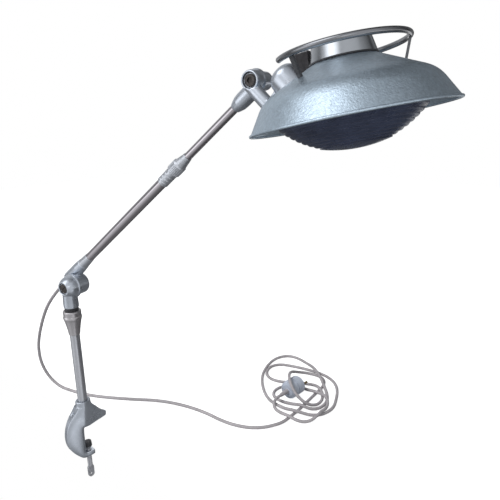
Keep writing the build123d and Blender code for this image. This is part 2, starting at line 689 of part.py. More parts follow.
with BuildPart() as shade:
    outer = shade_line(0)
    inner = shade_line(-shade_wall)
    with BuildSketch(head_section):
        with BuildLine():
            FilletPolyline(*outer, radius=shade_knee_round)
            Line(outer[2], inner[2])
            FilletPolyline(*inner[::-1], radius=shade_knee_round - shade_wall)
            Line(inner[0], outer[0])
        make_face()
        with Locations((rim_radius - shade_wall * 0.6, 0.6)):
            Circle(rim_bead_radius)
    revolve(axis=head_axis)
    turned(turret_section, turret_axis, [(0, 0), (nipple_radius + seat_gap, 0),
        (nipple_radius + seat_gap, -turret_length - turret_radius), (0, -turret_length - turret_radius)],
        Mode.SUBTRACT)
save(shade.part, "shade")

with BuildPart() as saddle_washer:
    with BuildSketch(Plane(origin=turret_top + stub_direction * (nipple_start + 4), x_dir=(0, 1, 0),
            z_dir=stub_direction)):
        Circle(nipple_radius + 6)
        Circle(nipple_radius + seat_gap, mode=Mode.SUBTRACT)
    extrude(amount=turret_length - nipple_start)
    add(shade_inside.part, mode=Mode.INTERSECT)
save(saddle_washer.part, "saddle_washer")

washer_face = turret_top + stub_direction * (turret_length + 4 + side_gap)
with BuildPart() as bracket_nut:
    with BuildSketch(Plane(origin=washer_face, x_dir=(0, 1, 0), z_dir=stub_direction)):
        RegularPolygon(nipple_radius + 4, 6, major_radius=False)
        Circle(nipple_radius + seat_gap, mode=Mode.SUBTRACT)
    extrude(amount=5)
save(bracket_nut.part, "bracket_nut")

with BuildPart() as bracket_nipple:
    with BuildSketch(Plane(origin=turret_top + stub_direction * (nipple_start + seat_gap), x_dir=(0, 1, 0),
                           z_dir=stub_direction)):
        Circle(nipple_radius)
        Circle(nipple_radius - 2, mode=Mode.SUBTRACT)
    extrude(amount=turret_length + 4 + 7 - nipple_start)
save(bracket_nipple.part, "bracket_nipple")

elbow_recess = elbow_front + recess_depth
with BuildPart() as elbow_bolt:
    pivot_bolt(elbow_section, elbow_axis, elbow_recess - bolt_head_height, elbow_nut_seat + nut_height,
        elbow_bolt_radius, elbow_face_radius - 4, bolt_head_height)
    with BuildSketch(Plane(origin=elbow + Vector(0, elbow_recess - bolt_head_height, 0),
            x_dir=in_xz(10), z_dir=(0, 1, 0))):
        RegularPolygon(elbow_bolt_radius, 6)
    extrude(amount=bolt_head_height - 0.8, mode=Mode.SUBTRACT)
save(elbow_bolt.part, "elbow_bolt")

with BuildPart() as elbow_nut:
    hex_nut(elbow + Vector(0, elbow_nut_seat + side_gap, 0), elbow_bolt_radius, elbow_nut_size,
        nut_height - side_gap)
save(elbow_nut.part, "elbow_nut")

ring_top = ring_height + ring_thickness
with BuildPart() as glass_ring:
    turned(head_section, head_axis, [(glass_radius + 1, ring_height),
        (skirt_bore(ring_height) - seat_gap, ring_height), (skirt_bore(ring_top) - seat_gap, ring_top),
        (glass_radius + 1, ring_top)])
save(glass_ring.part, "glass_ring")


glass_sphere_height = glass_edge_height + sqrt(glass_sphere_radius**2 - glass_radius**2)


def on_glass(radius, swell=0.0):
    """A point of the bowl's outer face at this radius, raised by the swell."""
    lean = asin(radius / glass_sphere_radius)
    reach = glass_sphere_radius + swell
    return (reach * sin(lean), glass_sphere_height - reach * cos(lean))


lip_bottom = ring_top + side_gap
lip_top = lip_bottom + glass_wall
inner_sphere = glass_sphere_radius - glass_wall
glass_disc_height = on_glass(glass_disc_radius)[1] - glass_disc_step
glass_floor = glass_sphere_height - inner_sphere
glass_bottom = glass_disc_height - glass_disc_bulge
with BuildPart() as glass_bowl:
    with BuildSketch(head_section):
        with BuildLine():
            Polyline((glass_radius + glass_lip, lip_bottom), (glass_radius, lip_bottom),
                on_glass(glass_radius))
            first_lean = asin(glass_radius / glass_sphere_radius)
            last_lean = asin(glass_disc_radius / glass_sphere_radius)
            for rib in range(glass_ribs):
                leans = [first_lean + (last_lean - first_lean) * (rib + part) / glass_ribs
                         for part in (0, 0.5, 1)]
                radii = [glass_sphere_radius * sin(lean) for lean in leans]
                ThreePointArc(on_glass(radii[0]), on_glass(radii[1], rib_height), on_glass(radii[2]))
            disc_edge = (glass_disc_radius, glass_disc_height)
            Line(on_glass(glass_disc_radius), disc_edge)
            TangentArc((0, glass_bottom), disc_edge, tangent=(1, 0))
            Line((0, glass_bottom), (0, glass_floor))
            inner_edge = glass_radius - glass_wall
            ThreePointArc((0, glass_floor),
                          (inner_edge / 2, glass_sphere_height - sqrt(inner_sphere**2 - inner_edge**2 / 4)),
                          (inner_edge, glass_sphere_height - sqrt(inner_sphere**2 - inner_edge**2)))
            Polyline((inner_edge, glass_sphere_height - sqrt(inner_sphere**2 - inner_edge**2)),
                (inner_edge, lip_top), (glass_radius + glass_lip, lip_top),
                (glass_radius + glass_lip, lip_bottom))
        make_face()
    revolve(axis=head_axis)
save(glass_bowl.part, "glass_bowl")

with BuildPart() as glass_clips:
    for angle in (30, 150, 270):
        with BuildSketch(head_radial(angle)):
            with BuildLine():
                Polyline((glass_radius + 2, lip_top + seat_gap),
                    (glass_radius + glass_lip + seat_gap, lip_top + seat_gap),
                    (glass_radius + glass_lip + seat_gap, ring_top + seat_gap),
                    (glass_radius + glass_lip + 9, ring_top + seat_gap),
                    (glass_radius + glass_lip + 9, ring_top + 1.2),
                    (glass_radius + glass_lip + 1.5, ring_top + 1.2),
                    (glass_radius + glass_lip + 1.5, lip_top + 1.2), (glass_radius + 2, lip_top + 1.2),
                    close=True)
            make_face()
        extrude(amount=5, both=True)
save(glass_clips.part, "glass_clips")

plate_height = shade_top_height - shade_wall - 3.0
with BuildPart() as holder_plate:
    turned(head_section, head_axis, [(holder_radius - 6, plate_height),
        (shade_top_radius - 1.5, plate_height), (shade_top_radius - 1.5, shade_top_height + 1),
        (shade_top_radius - 3, shade_top_height + 1), (shade_top_radius - 3, plate_height + 1.5),
        (holder_radius - 6, plate_height + 1.5)])
save(holder_plate.part, "holder_plate")

holder_top = plate_height
holder_bottom = plate_height - holder_length
with BuildPart() as lamp_holder:
    turned(head_section, head_axis, [(0, holder_top), (holder_radius - 6 - seat_gap, holder_top + 6),
        (holder_radius - 6 - seat_gap, holder_top - side_gap), (holder_radius, holder_top - side_gap),
        (holder_radius, holder_bottom + 8), (holder_radius - 2, holder_bottom),
        (bulb_cap_radius + running, holder_bottom), (bulb_cap_radius + running,
        holder_bottom + bulb_cap_length + 1), (0, holder_bottom + bulb_cap_length + 1)])
save(lamp_holder.part, "lamp_holder")

bulb_height = glass_floor + bulb_gap + bulb_radius
with BuildPart() as bulb:
    cap_line = holder_bottom + bulb_cap_length
    with BuildSketch(head_section):
        with BuildLine():
            Line((0, cap_line), (bulb_cap_radius, cap_line))
            Line((bulb_cap_radius, cap_line), (bulb_cap_radius, holder_bottom - 2))
            Spline((bulb_cap_radius, holder_bottom - 2), (bulb_radius, bulb_height),
                tangents=[(0.15, -1), (0, -1)])
            ThreePointArc((bulb_radius, bulb_height),
                (bulb_radius * sqrt(0.5), bulb_height - bulb_radius * sqrt(0.5)),
                (0, bulb_height - bulb_radius))
            Line((0, bulb_height - bulb_radius), (0, cap_line))
        make_face()
    revolve(axis=head_axis)
save(bulb.part, "bulb")

cap_base = shade_top_height + seam_height
cap_top = cap_base + cap_height
with BuildPart() as cap_seam_ring:
    turned(head_section, head_axis, [(shade_top_radius - 1, shade_top_height + seat_gap),
        (cap_radius + 0.6, shade_top_height + seat_gap), (cap_radius + 0.6, cap_base),
        (shade_top_radius - 1, cap_base)])
    add(shade_space.part, mode=Mode.SUBTRACT)
save(cap_seam_ring.part, "cap_seam_ring")

with BuildPart() as cap:
    with BuildSketch(head_section):
        with BuildLine():
            FilletPolyline((cap_radius, cap_base + seat_gap), (cap_top_radius, cap_top), (0, cap_top),
                radius=cap_round)
            Line((0, cap_top), (0, cap_top - cap_wall))
            FilletPolyline((0, cap_top - cap_wall), (cap_top_radius - cap_wall * 1.2, cap_top - cap_wall),
                           (cap_radius - cap_wall * 1.03, cap_base + seat_gap), radius=cap_round - cap_wall)
            Line((cap_radius - cap_wall * 1.03, cap_base + seat_gap), (cap_radius, cap_base + seat_gap))
        make_face()
    revolve(axis=head_axis)
save(cap.part, "cap")

# ---------------------------------------------------------------- handle
with BuildPart() as handle:
    with BuildSketch(head_radial(handle_start)):
        with Locations((handle_ring_radius, handle_height)):
            Circle(handle_bar_radius)
    revolve(axis=head_axis, revolution_arc=handle_sweep)
    for angle, facing in ((handle_start, 1), (handle_start + handle_sweep, -1)):
        with BuildSketch(head_radial(angle)):
            with Locations((handle_ring_radius, handle_height)):
                Circle(handle_bar_radius - handle_bar_wall)
        extrude(amount=-facing * handle_plug_depth, mode=Mode.SUBTRACT)
save(handle.part, "handle")

with BuildPart() as handle_plugs:
    for angle, facing in ((handle_start, 1), (handle_start + handle_sweep, -1)):
        with BuildSketch(head_radial(angle).offset(facing * seat_gap)):
            with Locations((handle_ring_radius, handle_height)):
                Circle(handle_bar_radius - handle_bar_wall - seat_gap)
        extrude(amount=-facing * handle_plug_depth)
        with BuildSketch(head_radial(angle).offset(facing * seat_gap)):
            with Locations((handle_ring_radius, handle_height)):
                Circle(handle_bar_radius)
        extrude(amount=facing * handle_plug_cap)
save(handle_plugs.part, "handle_plugs")

with BuildPart() as handle_struts:
    for angle in strut_directions:
        with BuildSketch(head_radial(angle)):
            with BuildLine():
                Polyline((handle_ring_radius - strut_lean - strut_thickness / 2, strut_foot),
                         (handle_ring_radius - strut_lean + strut_thickness / 2, strut_foot),
                         (handle_ring_radius + strut_thickness / 2, handle_height - 1),
                         (handle_ring_radius - strut_thickness / 2, handle_height - 1), close=True)
            make_face()
        extrude(amount=strut_width / 2, both=True)
    with BuildSketch(head_radial(handle_start)):
        with Locations((handle_ring_radius, handle_height)):
            Circle(handle_bar_radius + seat_gap)
    revolve(axis=head_axis, revolution_arc=handle_sweep, mode=Mode.SUBTRACT)
    add(shade_space.part, mode=Mode.SUBTRACT)
save(handle_struts.part, "handle_struts")

# ---------------------------------------------------------------- switch
housing_centre = ((housing_u[0] + housing_u[1]) / 2, (housing_v[0] + housing_v[1]) / 2)
housing_plan = (housing_u[1] - housing_u[0], housing_v[1] - housing_v[0])
with BuildPart() as switch_housing:
    with BuildSketch(head_level(shade_top_height - 20)):
        with Locations(housing_centre):
            RectangleRounded(housing_plan[0] + 4, housing_plan[1] + 4, 3)
    extrude(amount=30)
    with BuildSketch(head_level(shade_top_height + 8)):
        with Locations(housing_centre):
            RectangleRounded(*housing_plan, 3)
    extrude(amount=housing_top - shade_top_height - 8)
    fillet(switch_housing.faces().sort_by(head_axis)[-1].edges(), 1.5)
    with BuildSketch(head_level(shade_top_height - 30)):
        Circle(cap_radius + 0.6 + side_gap)
    extrude(amount=80, mode=Mode.SUBTRACT)
    turned(turret_section, turret_axis, [(0, 3), (turret_radius + side_gap, 3),
        (turret_radius + side_gap, -turret_length - 20), (0, -turret_length - 20)], Mode.SUBTRACT)
    add(shade_space.part, mode=Mode.SUBTRACT)
    with BuildSketch(head_level(housing_top)):
        with Locations(housing_centre):
            Circle(switch_collar_radius - 1.5 + seat_gap)
    extrude(amount=-switch_depth, mode=Mode.SUBTRACT)
save(switch_housing.part, "switch_housing")

lever_seat = head_level(housing_top).from_local_coords((*housing_centre, 0))
lever_plane = Plane(origin=lever_seat, x_dir=head_u, z_dir=head_w)
lever_bore = lever_ball_radius + running
pivot_plane = Plane(origin=lever_plane.from_local_coords((0, 0, switch_collar_height / 2)),
    x_dir=head_u, z_dir=(0, 1, 0))
switch_section = Plane(origin=lever_seat, x_dir=head_u, z_dir=(0, -1, 0))
switch_axis = Axis(lever_seat, head_w)
collar_section = [(lever_bore, seat_gap), (switch_collar_radius, seat_gap),
    (switch_collar_radius, switch_collar_height - 1), (lever_bore + 0.8, switch_collar_height),
    (lever_bore, switch_collar_height)]
with BuildPart() as switch_collar:
    turned(switch_section, switch_axis, collar_section)
    with BuildSketch(pivot_plane):
        Circle(lever_pin_radius)
    extrude(amount=lever_bore + 0.4, both=True)
save(switch_collar.part, "switch_collar")

# The lever's ball turns on a pin across the collar's bore, half way up it
lever_section = [(0, -lever_tail), (lever_radius, -lever_tail), (lever_radius * 0.8, 0),
    (lever_radius * 0.8, lever_length / 2), (lever_radius, lever_length - 1),
    (lever_radius * 0.6, lever_length), (0, lever_length)]
with BuildPart() as switch_lever:
    turned(switch_section, switch_axis, lever_section)
    with Locations(pivot_plane.origin):
        Sphere(lever_ball_radius)
    with BuildSketch(pivot_plane):
        Circle(lever_pin_radius + running)
    extrude(amount=lever_ball_radius, both=True, mode=Mode.SUBTRACT)
save(switch_lever.part, "switch_lever")

# ---------------------------------------------------------------- cord and plug
cord_exit = arm_station(grommet_tip).origin
grommet_corner = cord_exit + arm_normal * (cord_radius + 1) - Vector(0, arm_y, 0)
shoulder_swing_plane = Plane(origin=shoulder, x_dir=(1, 0, 0), z_dir=(0, 1, 0))
cord_route = [
    cord_exit,
    cord_exit - arm_direction * cord_first_run,
    Vector(-140, 28, 172),
    Vector(-172, 33, 105),
    Vector(-176, 42, 50),
    Vector(-152, 54, 11),
    Vector(-112, 64, cord_radius),
    Vector(-60, 73, cord_radius),
    Vector(10, 101, cord_radius),
    Vector(85, 138, cord_radius),
    Vector(170, 149, cord_radius),
    Vector(245, 138, cord_radius),
    Vector(300, 152, cord_radius),
    Vector(333, 190, cord_radius),
    Vector(338, 222, cord_radius),
]
cord_radii = []
for before, corner, after in zip(cord_route, cord_route[1:], cord_route[2:]):
    turn = radians((corner - before).get_angle(after - corner))
    shorter = min((corner - before).length, (after - corner).length)
    cord_radii.append(0.45 * shorter / tan(turn / 2))

# The cord's end is cut back to where the grommet swings past it as the arm is raised
grommet_swing = (grommet_corner - shoulder).length + side_gap
with BuildPart() as cord_run:
    with BuildLine() as cord_path:
        FilletPolyline(*cord_route, radius=cord_radii)
    with BuildSketch(Plane(origin=cord_path.line @ 0, z_dir=cord_path.line % 0)):
        Circle(cord_radius)
    sweep(path=cord_path.line)
    with BuildSketch(shoulder_swing_plane):
        Circle(grommet_swing)
    extrude(amount=shoulder_rear + arm_y, mode=Mode.SUBTRACT)
save(cord_run.part, "cord_run")

coil_plane = Plane(origin=(*coil_centre, 0), x_dir=in_plan(coil_direction), z_dir=(0, 0, 1))
with BuildPart() as cord_coil:
    with BuildSketch(coil_plane.offset(0.01)):
        Ellipse(*coil_size)
    with BuildSketch(coil_plane.offset(coil_height)):
        Ellipse(coil_size[0] - coil_top_inset, coil_size[1] - coil_top_inset)
    loft()
    with BuildSketch(coil_plane.offset(-1)):
        Ellipse(*coil_hole)
    extrude(amount=coil_height + 2, mode=Mode.SUBTRACT)
save(cord_coil.part, "cord_coil")

plug_axis = in_plan(plug_azimuth)
plug_rear = Vector(*plug_place, plug_radius + 0.05)
plug_front = plug_rear + plug_axis * plug_length
plug_section = Plane(origin=plug_rear, x_dir=plug_axis.cross(Vector(0, 0, 1)), z_dir=(0, 0, 1))
plug_line = Axis(plug_rear, plug_axis)


def along_plug(distance):
    """The plane across the plug at this distance from its rear."""
    return Plane(origin=plug_rear + plug_axis * distance, x_dir=plug_section.x_dir, z_dir=plug_axis)


with BuildPart() as plug_cover:
    turned(plug_section, plug_line, [(0, 0), (plug_radius - 7, 0), (plug_radius - 1.5, 3), (plug_radius, 6),
                                     (plug_radius, plug_split), (0, plug_split)])
save(plug_cover.part, "plug_cover")

with BuildPart() as plug_base:
    turned(plug_section, plug_line, [(0, plug_split + side_gap),
        (plug_radius - 1.2, plug_split + side_gap), (plug_radius - 1.2, plug_split + 1.5),
        (plug_radius, plug_split + 1.5), (plug_radius, plug_length - 1), (plug_radius - 1, plug_length),
        (0, plug_length)])
    with BuildSketch(along_plug(plug_length)):
        with Locations((-plug_pin_pitch / 2, 0), (plug_pin_pitch / 2, 0)):
            Circle(plug_pin_radius + seat_gap)
    extrude(amount=-6, mode=Mode.SUBTRACT)
save(plug_base.part, "plug_base")

with BuildPart() as plug_pins:
    with BuildSketch(along_plug(plug_length - 6 + seat_gap)):
        with Locations((-plug_pin_pitch / 2, 0), (plug_pin_pitch / 2, 0)):
            Circle(plug_pin_radius)
    extrude(amount=plug_pin_length + 6)
    fillet(plug_pins.faces().sort_by(plug_line)[-2:].edges(), 1.2)
save(plug_pins.part, "plug_pins")

with BuildPart() as plug_bush:
    turned(plug_section, plug_line, [(0, -plug_bush_length), (cord_radius + 0.8, -plug_bush_length),
        (cord_radius + 2, -2), (cord_radius + 2, -seat_gap), (0, -seat_gap)])
save(plug_bush.part, "plug_bush")
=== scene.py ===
"""Clamp-on architect desk lamp: its finishes, its detailed pieces, its cord and a plain studio.

Everything is in metres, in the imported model's own frame. The origin is on the stem's axis, at the
jaw face that rests on the table. +Z is up, the arm reaches out along +X, and the table is on the
+Y side.
"""

import json
from math import atan2, cos, pi, radians, sin

import bmesh
import bpy
from bpy.props import FloatProperty, FloatVectorProperty, PointerProperty
from mathutils import Matrix, Vector


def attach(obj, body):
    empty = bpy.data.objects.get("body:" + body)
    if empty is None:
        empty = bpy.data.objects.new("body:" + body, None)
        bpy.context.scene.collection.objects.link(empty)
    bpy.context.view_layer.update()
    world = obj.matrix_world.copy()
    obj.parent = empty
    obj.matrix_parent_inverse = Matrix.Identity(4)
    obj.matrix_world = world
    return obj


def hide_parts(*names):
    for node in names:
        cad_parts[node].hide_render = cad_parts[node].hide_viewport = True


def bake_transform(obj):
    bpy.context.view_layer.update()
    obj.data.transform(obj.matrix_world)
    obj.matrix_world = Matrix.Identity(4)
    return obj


bl_info = {
    "name": "Architect desk lamp",
    "version": (1, 0, 0),
    "blender": (4, 5, 0),
    "location": "View3D > Sidebar > Desk Lamp",
    "description": "Finishes, details, cord and studio for a clamp-on desk lamp",
    "category": "Object",
}

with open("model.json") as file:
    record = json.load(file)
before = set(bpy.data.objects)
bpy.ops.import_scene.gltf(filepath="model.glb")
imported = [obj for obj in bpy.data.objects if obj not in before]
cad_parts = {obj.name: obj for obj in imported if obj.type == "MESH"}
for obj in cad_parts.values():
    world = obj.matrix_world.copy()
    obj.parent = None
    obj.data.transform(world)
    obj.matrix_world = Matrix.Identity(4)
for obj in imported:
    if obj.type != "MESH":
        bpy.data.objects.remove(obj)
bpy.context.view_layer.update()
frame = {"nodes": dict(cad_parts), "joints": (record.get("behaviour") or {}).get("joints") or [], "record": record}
NODES = frame["nodes"]
SLOT_OF = {part["node"]: part["material_slot"] for part in frame["record"]["subparts"]}
AXES = {joint["name"]: Vector(joint["axis"]) for joint in frame["joints"]}

# The way the arm's tubes run, and the way the clamp's jaw reaches in from the table's edge
ARM = AXES["arm_telescope"].normalized()
JAW_HEADING = radians(78)
JAW = Vector((cos(JAW_HEADING), sin(JAW_HEADING), 0))

# Each casting's body, and how many times its skin is softened
CASTINGS = {
    "clamp_body": ("clamp", 6),
    "stem_cup": ("clamp", 3),
    "shoulder_knuckle": ("shoulder", 4),
    "shoulder_casting": ("lower_arm", 5),
    "elbow_casting": ("upper_arm", 4),
    "head_bracket": ("head", 6),
}

# The clamp's section is rounded across its jaw. Two round parts on the stem's axis are kept out of
# it: the socket, above SOCKET_FOOT, and the screw boss, below BOSS_TOP. Each is kept to a radius,
# and the rounding fades in outside that.
SOCKET_KEPT, SOCKET_FOOT = 0.0125, -0.002
BOSS_KEPT, BOSS_TOP = 0.008, -0.045
ROUNDING_FADE = 0.005
ROUNDING_PASSES = 600

# The clamp screw's thread ends at the shoulder over the thumb piece. What is nearer the axis than
# the plain radius, at the tip, has none. The skin is rebuilt fine enough to carry each turn.
SCREW_SHOULDER = -0.095
SCREW_PLAIN_RADIUS = 0.0038
VOXELS_PER_TURN = 5

# How finely the cord is made
CORD_STEPS = 12
CORD_SIDES = 14

# The cord's route: from the grommet under the arm to the table, and then its loose loops round the
# plug. Where it lies on the table, its middle is half its thickness up. The last two points are the
# two ends of the plug's bush.
CORD_RUN = [
    (-0.0434, 0.023, 0.277), (-0.092, 0.023, 0.2385), (-0.14, 0.028, 0.172), (-0.172, 0.033, 0.105),
    (-0.176, 0.042, 0.05), (-0.152, 0.054, 0.011), (-0.112, 0.064, 0.0032), (-0.06, 0.073, 0.0032),
    (0.01, 0.101, 0.0032), (0.085, 0.138, 0.0032), (0.17, 0.149, 0.0032), (0.245, 0.138, 0.0032),
    (0.3, 0.152, 0.0032), (0.333, 0.19, 0.0032), (0.338, 0.222, 0.0032),
]
CORD_LOOPS = [
    (0.342, 0.255, 0.0032), (0.343, 0.29, 0.0032), (0.345, 0.325, 0.0032), (0.347, 0.356, 0.0032),
    (0.34, 0.381, 0.0032), (0.323, 0.393, 0.0032), (0.305, 0.394, 0.0032), (0.289, 0.387, 0.006),
    (0.279, 0.37, 0.013), (0.279, 0.346, 0.026), (0.286, 0.317, 0.04), (0.297, 0.291, 0.047),
    (0.313, 0.27, 0.042), (0.331, 0.262, 0.026), (0.351, 0.267, 0.01), (0.365, 0.283, 0.0032),
    (0.368, 0.304, 0.0032), (0.361, 0.325, 0.006), (0.345, 0.339, 0.0113), (0.327, 0.346, 0.008),
    (0.308, 0.348, 0.0032), (0.29, 0.346, 0.0032), (0.272, 0.334, 0.0032), (0.254, 0.327, 0.0032),
    (0.232, 0.327, 0.0032), (0.214, 0.339, 0.0032), (0.2045, 0.359, 0.0032), (0.204, 0.382, 0.0032),
    (0.22, 0.399, 0.0032), (0.248, 0.404, 0.0032), (0.272, 0.407, 0.0032), (0.299, 0.407, 0.0032),
    (0.325, 0.405, 0.0032), (0.349, 0.395, 0.0032), (0.369, 0.377, 0.0032), (0.383, 0.351, 0.0032),
    (0.391, 0.325, 0.0032), (0.398, 0.3, 0.0032), (0.397, 0.279, 0.0032), (0.388, 0.258, 0.0032),
    (0.371, 0.246, 0.0032), (0.354, 0.238, 0.008), (0.338, 0.232, 0.012), (0.32, 0.23, 0.011),
    (0.3, 0.236, 0.009), (0.28, 0.247, 0.004), (0.258, 0.262, 0.0032), (0.236, 0.286, 0.0032),
    (0.217, 0.313, 0.0032), (0.203, 0.342, 0.0032), (0.195, 0.374, 0.0032), (0.192, 0.405, 0.0032),
    (0.199, 0.431, 0.0032), (0.216, 0.446, 0.0032), (0.24, 0.446, 0.0032), (0.269, 0.433, 0.004),
    (0.297, 0.412, 0.0105), (0.32, 0.39, 0.011), (0.337, 0.37, 0.011), (0.352, 0.35, 0.01),
    (0.367, 0.333, 0.004), (0.377, 0.313, 0.0032), (0.379, 0.292, 0.0032), (0.373, 0.273, 0.0032),
    (0.36, 0.262, 0.005), (0.343, 0.257, 0.012), (0.325, 0.258, 0.007), (0.305, 0.26, 0.0032),
    (0.286, 0.262, 0.0032), (0.27, 0.271, 0.0032), (0.263, 0.29, 0.0032), (0.268, 0.31, 0.0032),
    (0.283, 0.325, 0.0032), (0.303, 0.329, 0.0032), (0.325, 0.324, 0.006), (0.343, 0.317, 0.012),
    (0.36, 0.316, 0.012), (0.3755, 0.31, 0.012), (0.385, 0.297, 0.0072), (0.388, 0.28, 0.0046),
    (0.388, 0.26, 0.011), (0.387, 0.244, 0.011), (0.381, 0.229, 0.005), (0.369, 0.218, 0.0032),
    (0.354, 0.213, 0.006), (0.338, 0.211, 0.012), (0.322, 0.212, 0.0115), (0.306, 0.217, 0.0115),
    (0.2952, 0.229, 0.014), (0.2926, 0.244, 0.0178), (0.2966, 0.2584, 0.01905),
    (0.3001, 0.2781, 0.01905),
]

# The camera: its place, its turn round the vertical, its dip and its roll in degrees, and its shift
CAMERA_PLACE = (0.75359, -0.56846, 0.59949)
CAMERA_TURN, CAMERA_DIP, CAMERA_ROLL = 32.2, 15.96, -0.91
CAMERA_SHIFT = (-0.0056, 0.0023)
SENSOR_WIDTH = 36.0

# The lamps: what they face, where they stand from there, and how large they are
LIT_PLACE = Vector((0.3, 0.05, 0.4))
KEY_PLACE = Vector((-0.78, -1.25, 1.70))
FILL_PLACE = Vector((1.1, -1.7, 0.6))
KEY_SIZE, FILL_SIZE = 1.3, 0.9
SKY_COLOUR = (0.96, 0.98, 1, 1)
WHITE = (1, 1, 1, 1)

# The table top: where its edge lies along the jaw, how far it goes to each side and back, its
# height, its colour, its roughness and its own glow
TABLE_EDGE = -0.0078
TABLE_SIDE, TABLE_DEPTH, TABLE_HEIGHT = 3.2, 3.4, -0.0005
TABLE_COLOUR = (0.8, 0.8, 0.8, 1)
TABLE_ROUGHNESS = 0.9
TABLE_GLOW = 0.86

# What reflections see: a tent all round and a sheet on the table, both glowing a little blue
TENT_RADIUS = 9
SHEET_SIDE, SHEET_HEIGHT = 2.0, -0.0002
GLOW_TINT = (0.97, 0.99, 1.02)
# Their tones at compass directions in degrees, anticlockwise from +X
TENT_TONES = (
    (-180, 0.6), (-172, 0.5), (-163, 0.24), (-155, 0.45), (-148, 0.85), (-134, 0.95), (-120, 1.0),
    (-96, 1.0), (-77, 0.85), (-58, 1.0), (-17, 0.9), (13, 0.5), (36, 0.3), (56, 0.07), (74, 0.3),
    (90, 0.1), (98, 0.07), (115, 0.75), (132, 0.55), (150, 0.8), (166, 0.75), (180, 0.6))
SHEET_TONES = ((-180, 0.26), (-150, 0.26), (-90, 0.12), (0, 0.12), (120, 0.14), (180, 0.26))
# The share of those tones at each height, from straight down (-1) to straight up (1)
HEIGHT_TONES = (
    (-1.0, 0.2), (-0.8, 0.42), (-0.5, 0.8), (-0.42, 0.8), (-0.28, 0.4), (-0.06, 1.0), (0.03, 0.75),
    (0.35, 0.8), (0.72, 0.8), (0.96, 0.45), (1.0, 0.4))
# Brighter windows in the tent: the way there, the cosines of the angle from it at which the window
# begins and is full, and its extra glow
WINDOWS = (
    (KEY_PLACE, 0.87, 0.98, 2.8), (Vector((-0.61, -0.79, -0.05)), 0.9, 0.985, 1.2),
    (Vector((0.86, -0.07, -0.5)), 0.8, 0.97, 0.65))


# ---------------------------------------------------------------- settings
class LampColours(bpy.types.PropertyGroup):
    """The colours of the lamp's finishes"""

    casting: FloatVectorProperty(
        name="Castings", description="Satin enamel on the castings", subtype="COLOR", size=3,
        min=0, max=1, default=(0.53, 0.565, 0.62))
    cup: FloatVectorProperty(
        name="Cup", description="Warmer enamel on the cup over the stem", subtype="COLOR", size=3,
        min=0, max=1, default=(0.52, 0.50, 0.51))
    tube: FloatVectorProperty(
        name="Arm tubes", description="Brushed steel of the arm", subtype="COLOR", size=3,
        min=0, max=1, default=(0.48, 0.45, 0.47))
    stem: FloatVectorProperty(
        name="Stem", description="Brushed steel of the stem", subtype="COLOR", size=3,
        min=0, max=1, default=(0.56, 0.57, 0.60))
    plating: FloatVectorProperty(
        name="Plating", description="Nickel on the bright pieces, such as the cap over the shade",
        subtype="COLOR", size=3, min=0, max=1, default=(0.46, 0.48, 0.505))
    shade: FloatVectorProperty(
        name="Shade", description="Hammered enamel on the shade", subtype="COLOR", size=3,
        min=0, max=1, default=(0.50, 0.595, 0.68))
    glass: FloatVectorProperty(
        name="Glass", description="Slate blue of the ribbed bowl", subtype="COLOR", size=3,
        min=0, max=1, default=(0.072, 0.088, 0.152))
    cord: FloatVectorProperty(
        name="Cord", description="Rubber sheath of the cord", subtype="COLOR", size=3,
        min=0, max=1, default=(0.52, 0.49, 0.51))
    plug: FloatVectorProperty(
        name="Plug", description="Moulded plug", subtype="COLOR", size=3,
        min=0, max=1, default=(0.54, 0.59, 0.70))


class LampSizes(bpy.types.PropertyGroup):
    """Sizes of the details that the pieces get here"""

    cord_diameter: FloatProperty(
        name="Cord diameter", description="Outside of the cord's sheath", subtype="DISTANCE",
        unit="LENGTH", default=0.0064)
    casting_voxel: FloatProperty(
        name="Casting detail", description="Voxel that a casting's skin is rebuilt with",
        subtype="DISTANCE", unit="LENGTH", default=0.0009)
    thread_pitch: FloatProperty(
        name="Thread pitch", description="Pitch of the clamp screw's thread", subtype="DISTANCE",
        unit="LENGTH", default=0.002)
    thread_depth: FloatProperty(
        name="Thread depth", description="Depth of the clamp screw's thread", subtype="DISTANCE",
        unit="LENGTH", default=0.0006)


class StudioSettings(bpy.types.PropertyGroup):
    """The table, the lamps and the camera"""

    key_power: FloatProperty(
        name="Key lamp", description="Power of the large lamp on the left", subtype="POWER",
        unit="POWER", default=38.0)
    fill_power: FloatProperty(
        name="Fill lamp", description="Power of the small lamp in front", subtype="POWER",
        unit="POWER", default=2.0)
    sky: FloatProperty(
        name="Sky", description="Strength of the even light from all sides", subtype="FACTOR",
        min=0, max=1, default=0.30)
    focal_length: FloatProperty(
        name="Focal length", description="Of the camera, in millimetres on a 36 mm sensor",
        subtype="DISTANCE_CAMERA", unit="CAMERA", default=37.07)


# ---------------------------------------------------------------- nodes
def add_node(tree, kind, *values, settings=(), **named):
    """Adds a node and feeds its inputs, in order or by name: sockets are linked, values are set."""
    node = tree.nodes.new(kind)
    for name, value in dict(settings).items():
        setattr(node, name, value)
    feeds = list(zip(node.inputs, values))
    feeds += [(node.inputs[name.replace("_", " ")], value) for name, value in named.items()]
    for socket, value in feeds:
        if isinstance(value, bpy.types.NodeSocket):
            tree.links.new(value, socket)
        else:
            socket.default_value = value
    return node


def maths(tree, operation, *values):
    """The result of a sum on sockets or plain numbers."""
    return add_node(tree, "ShaderNodeMath", *values, settings={"operation": operation}).outputs[0]


def colour_ramp(tree, value, stops, interpolation="LINEAR"):
    """Turns a value from 0 to 1 into a colour, by stops of a position and a colour."""
    node = add_node(tree, "ShaderNodeValToRGB", value)
    node.color_ramp.interpolation = interpolation
    elements = node.color_ramp.elements
    while len(elements) < len(stops):
        elements.new(0.5)
    for element, (position, colour) in zip(elements, stops):
        element.position = position
        element.color = (*colour, 1)
    return node.outputs["Color"]


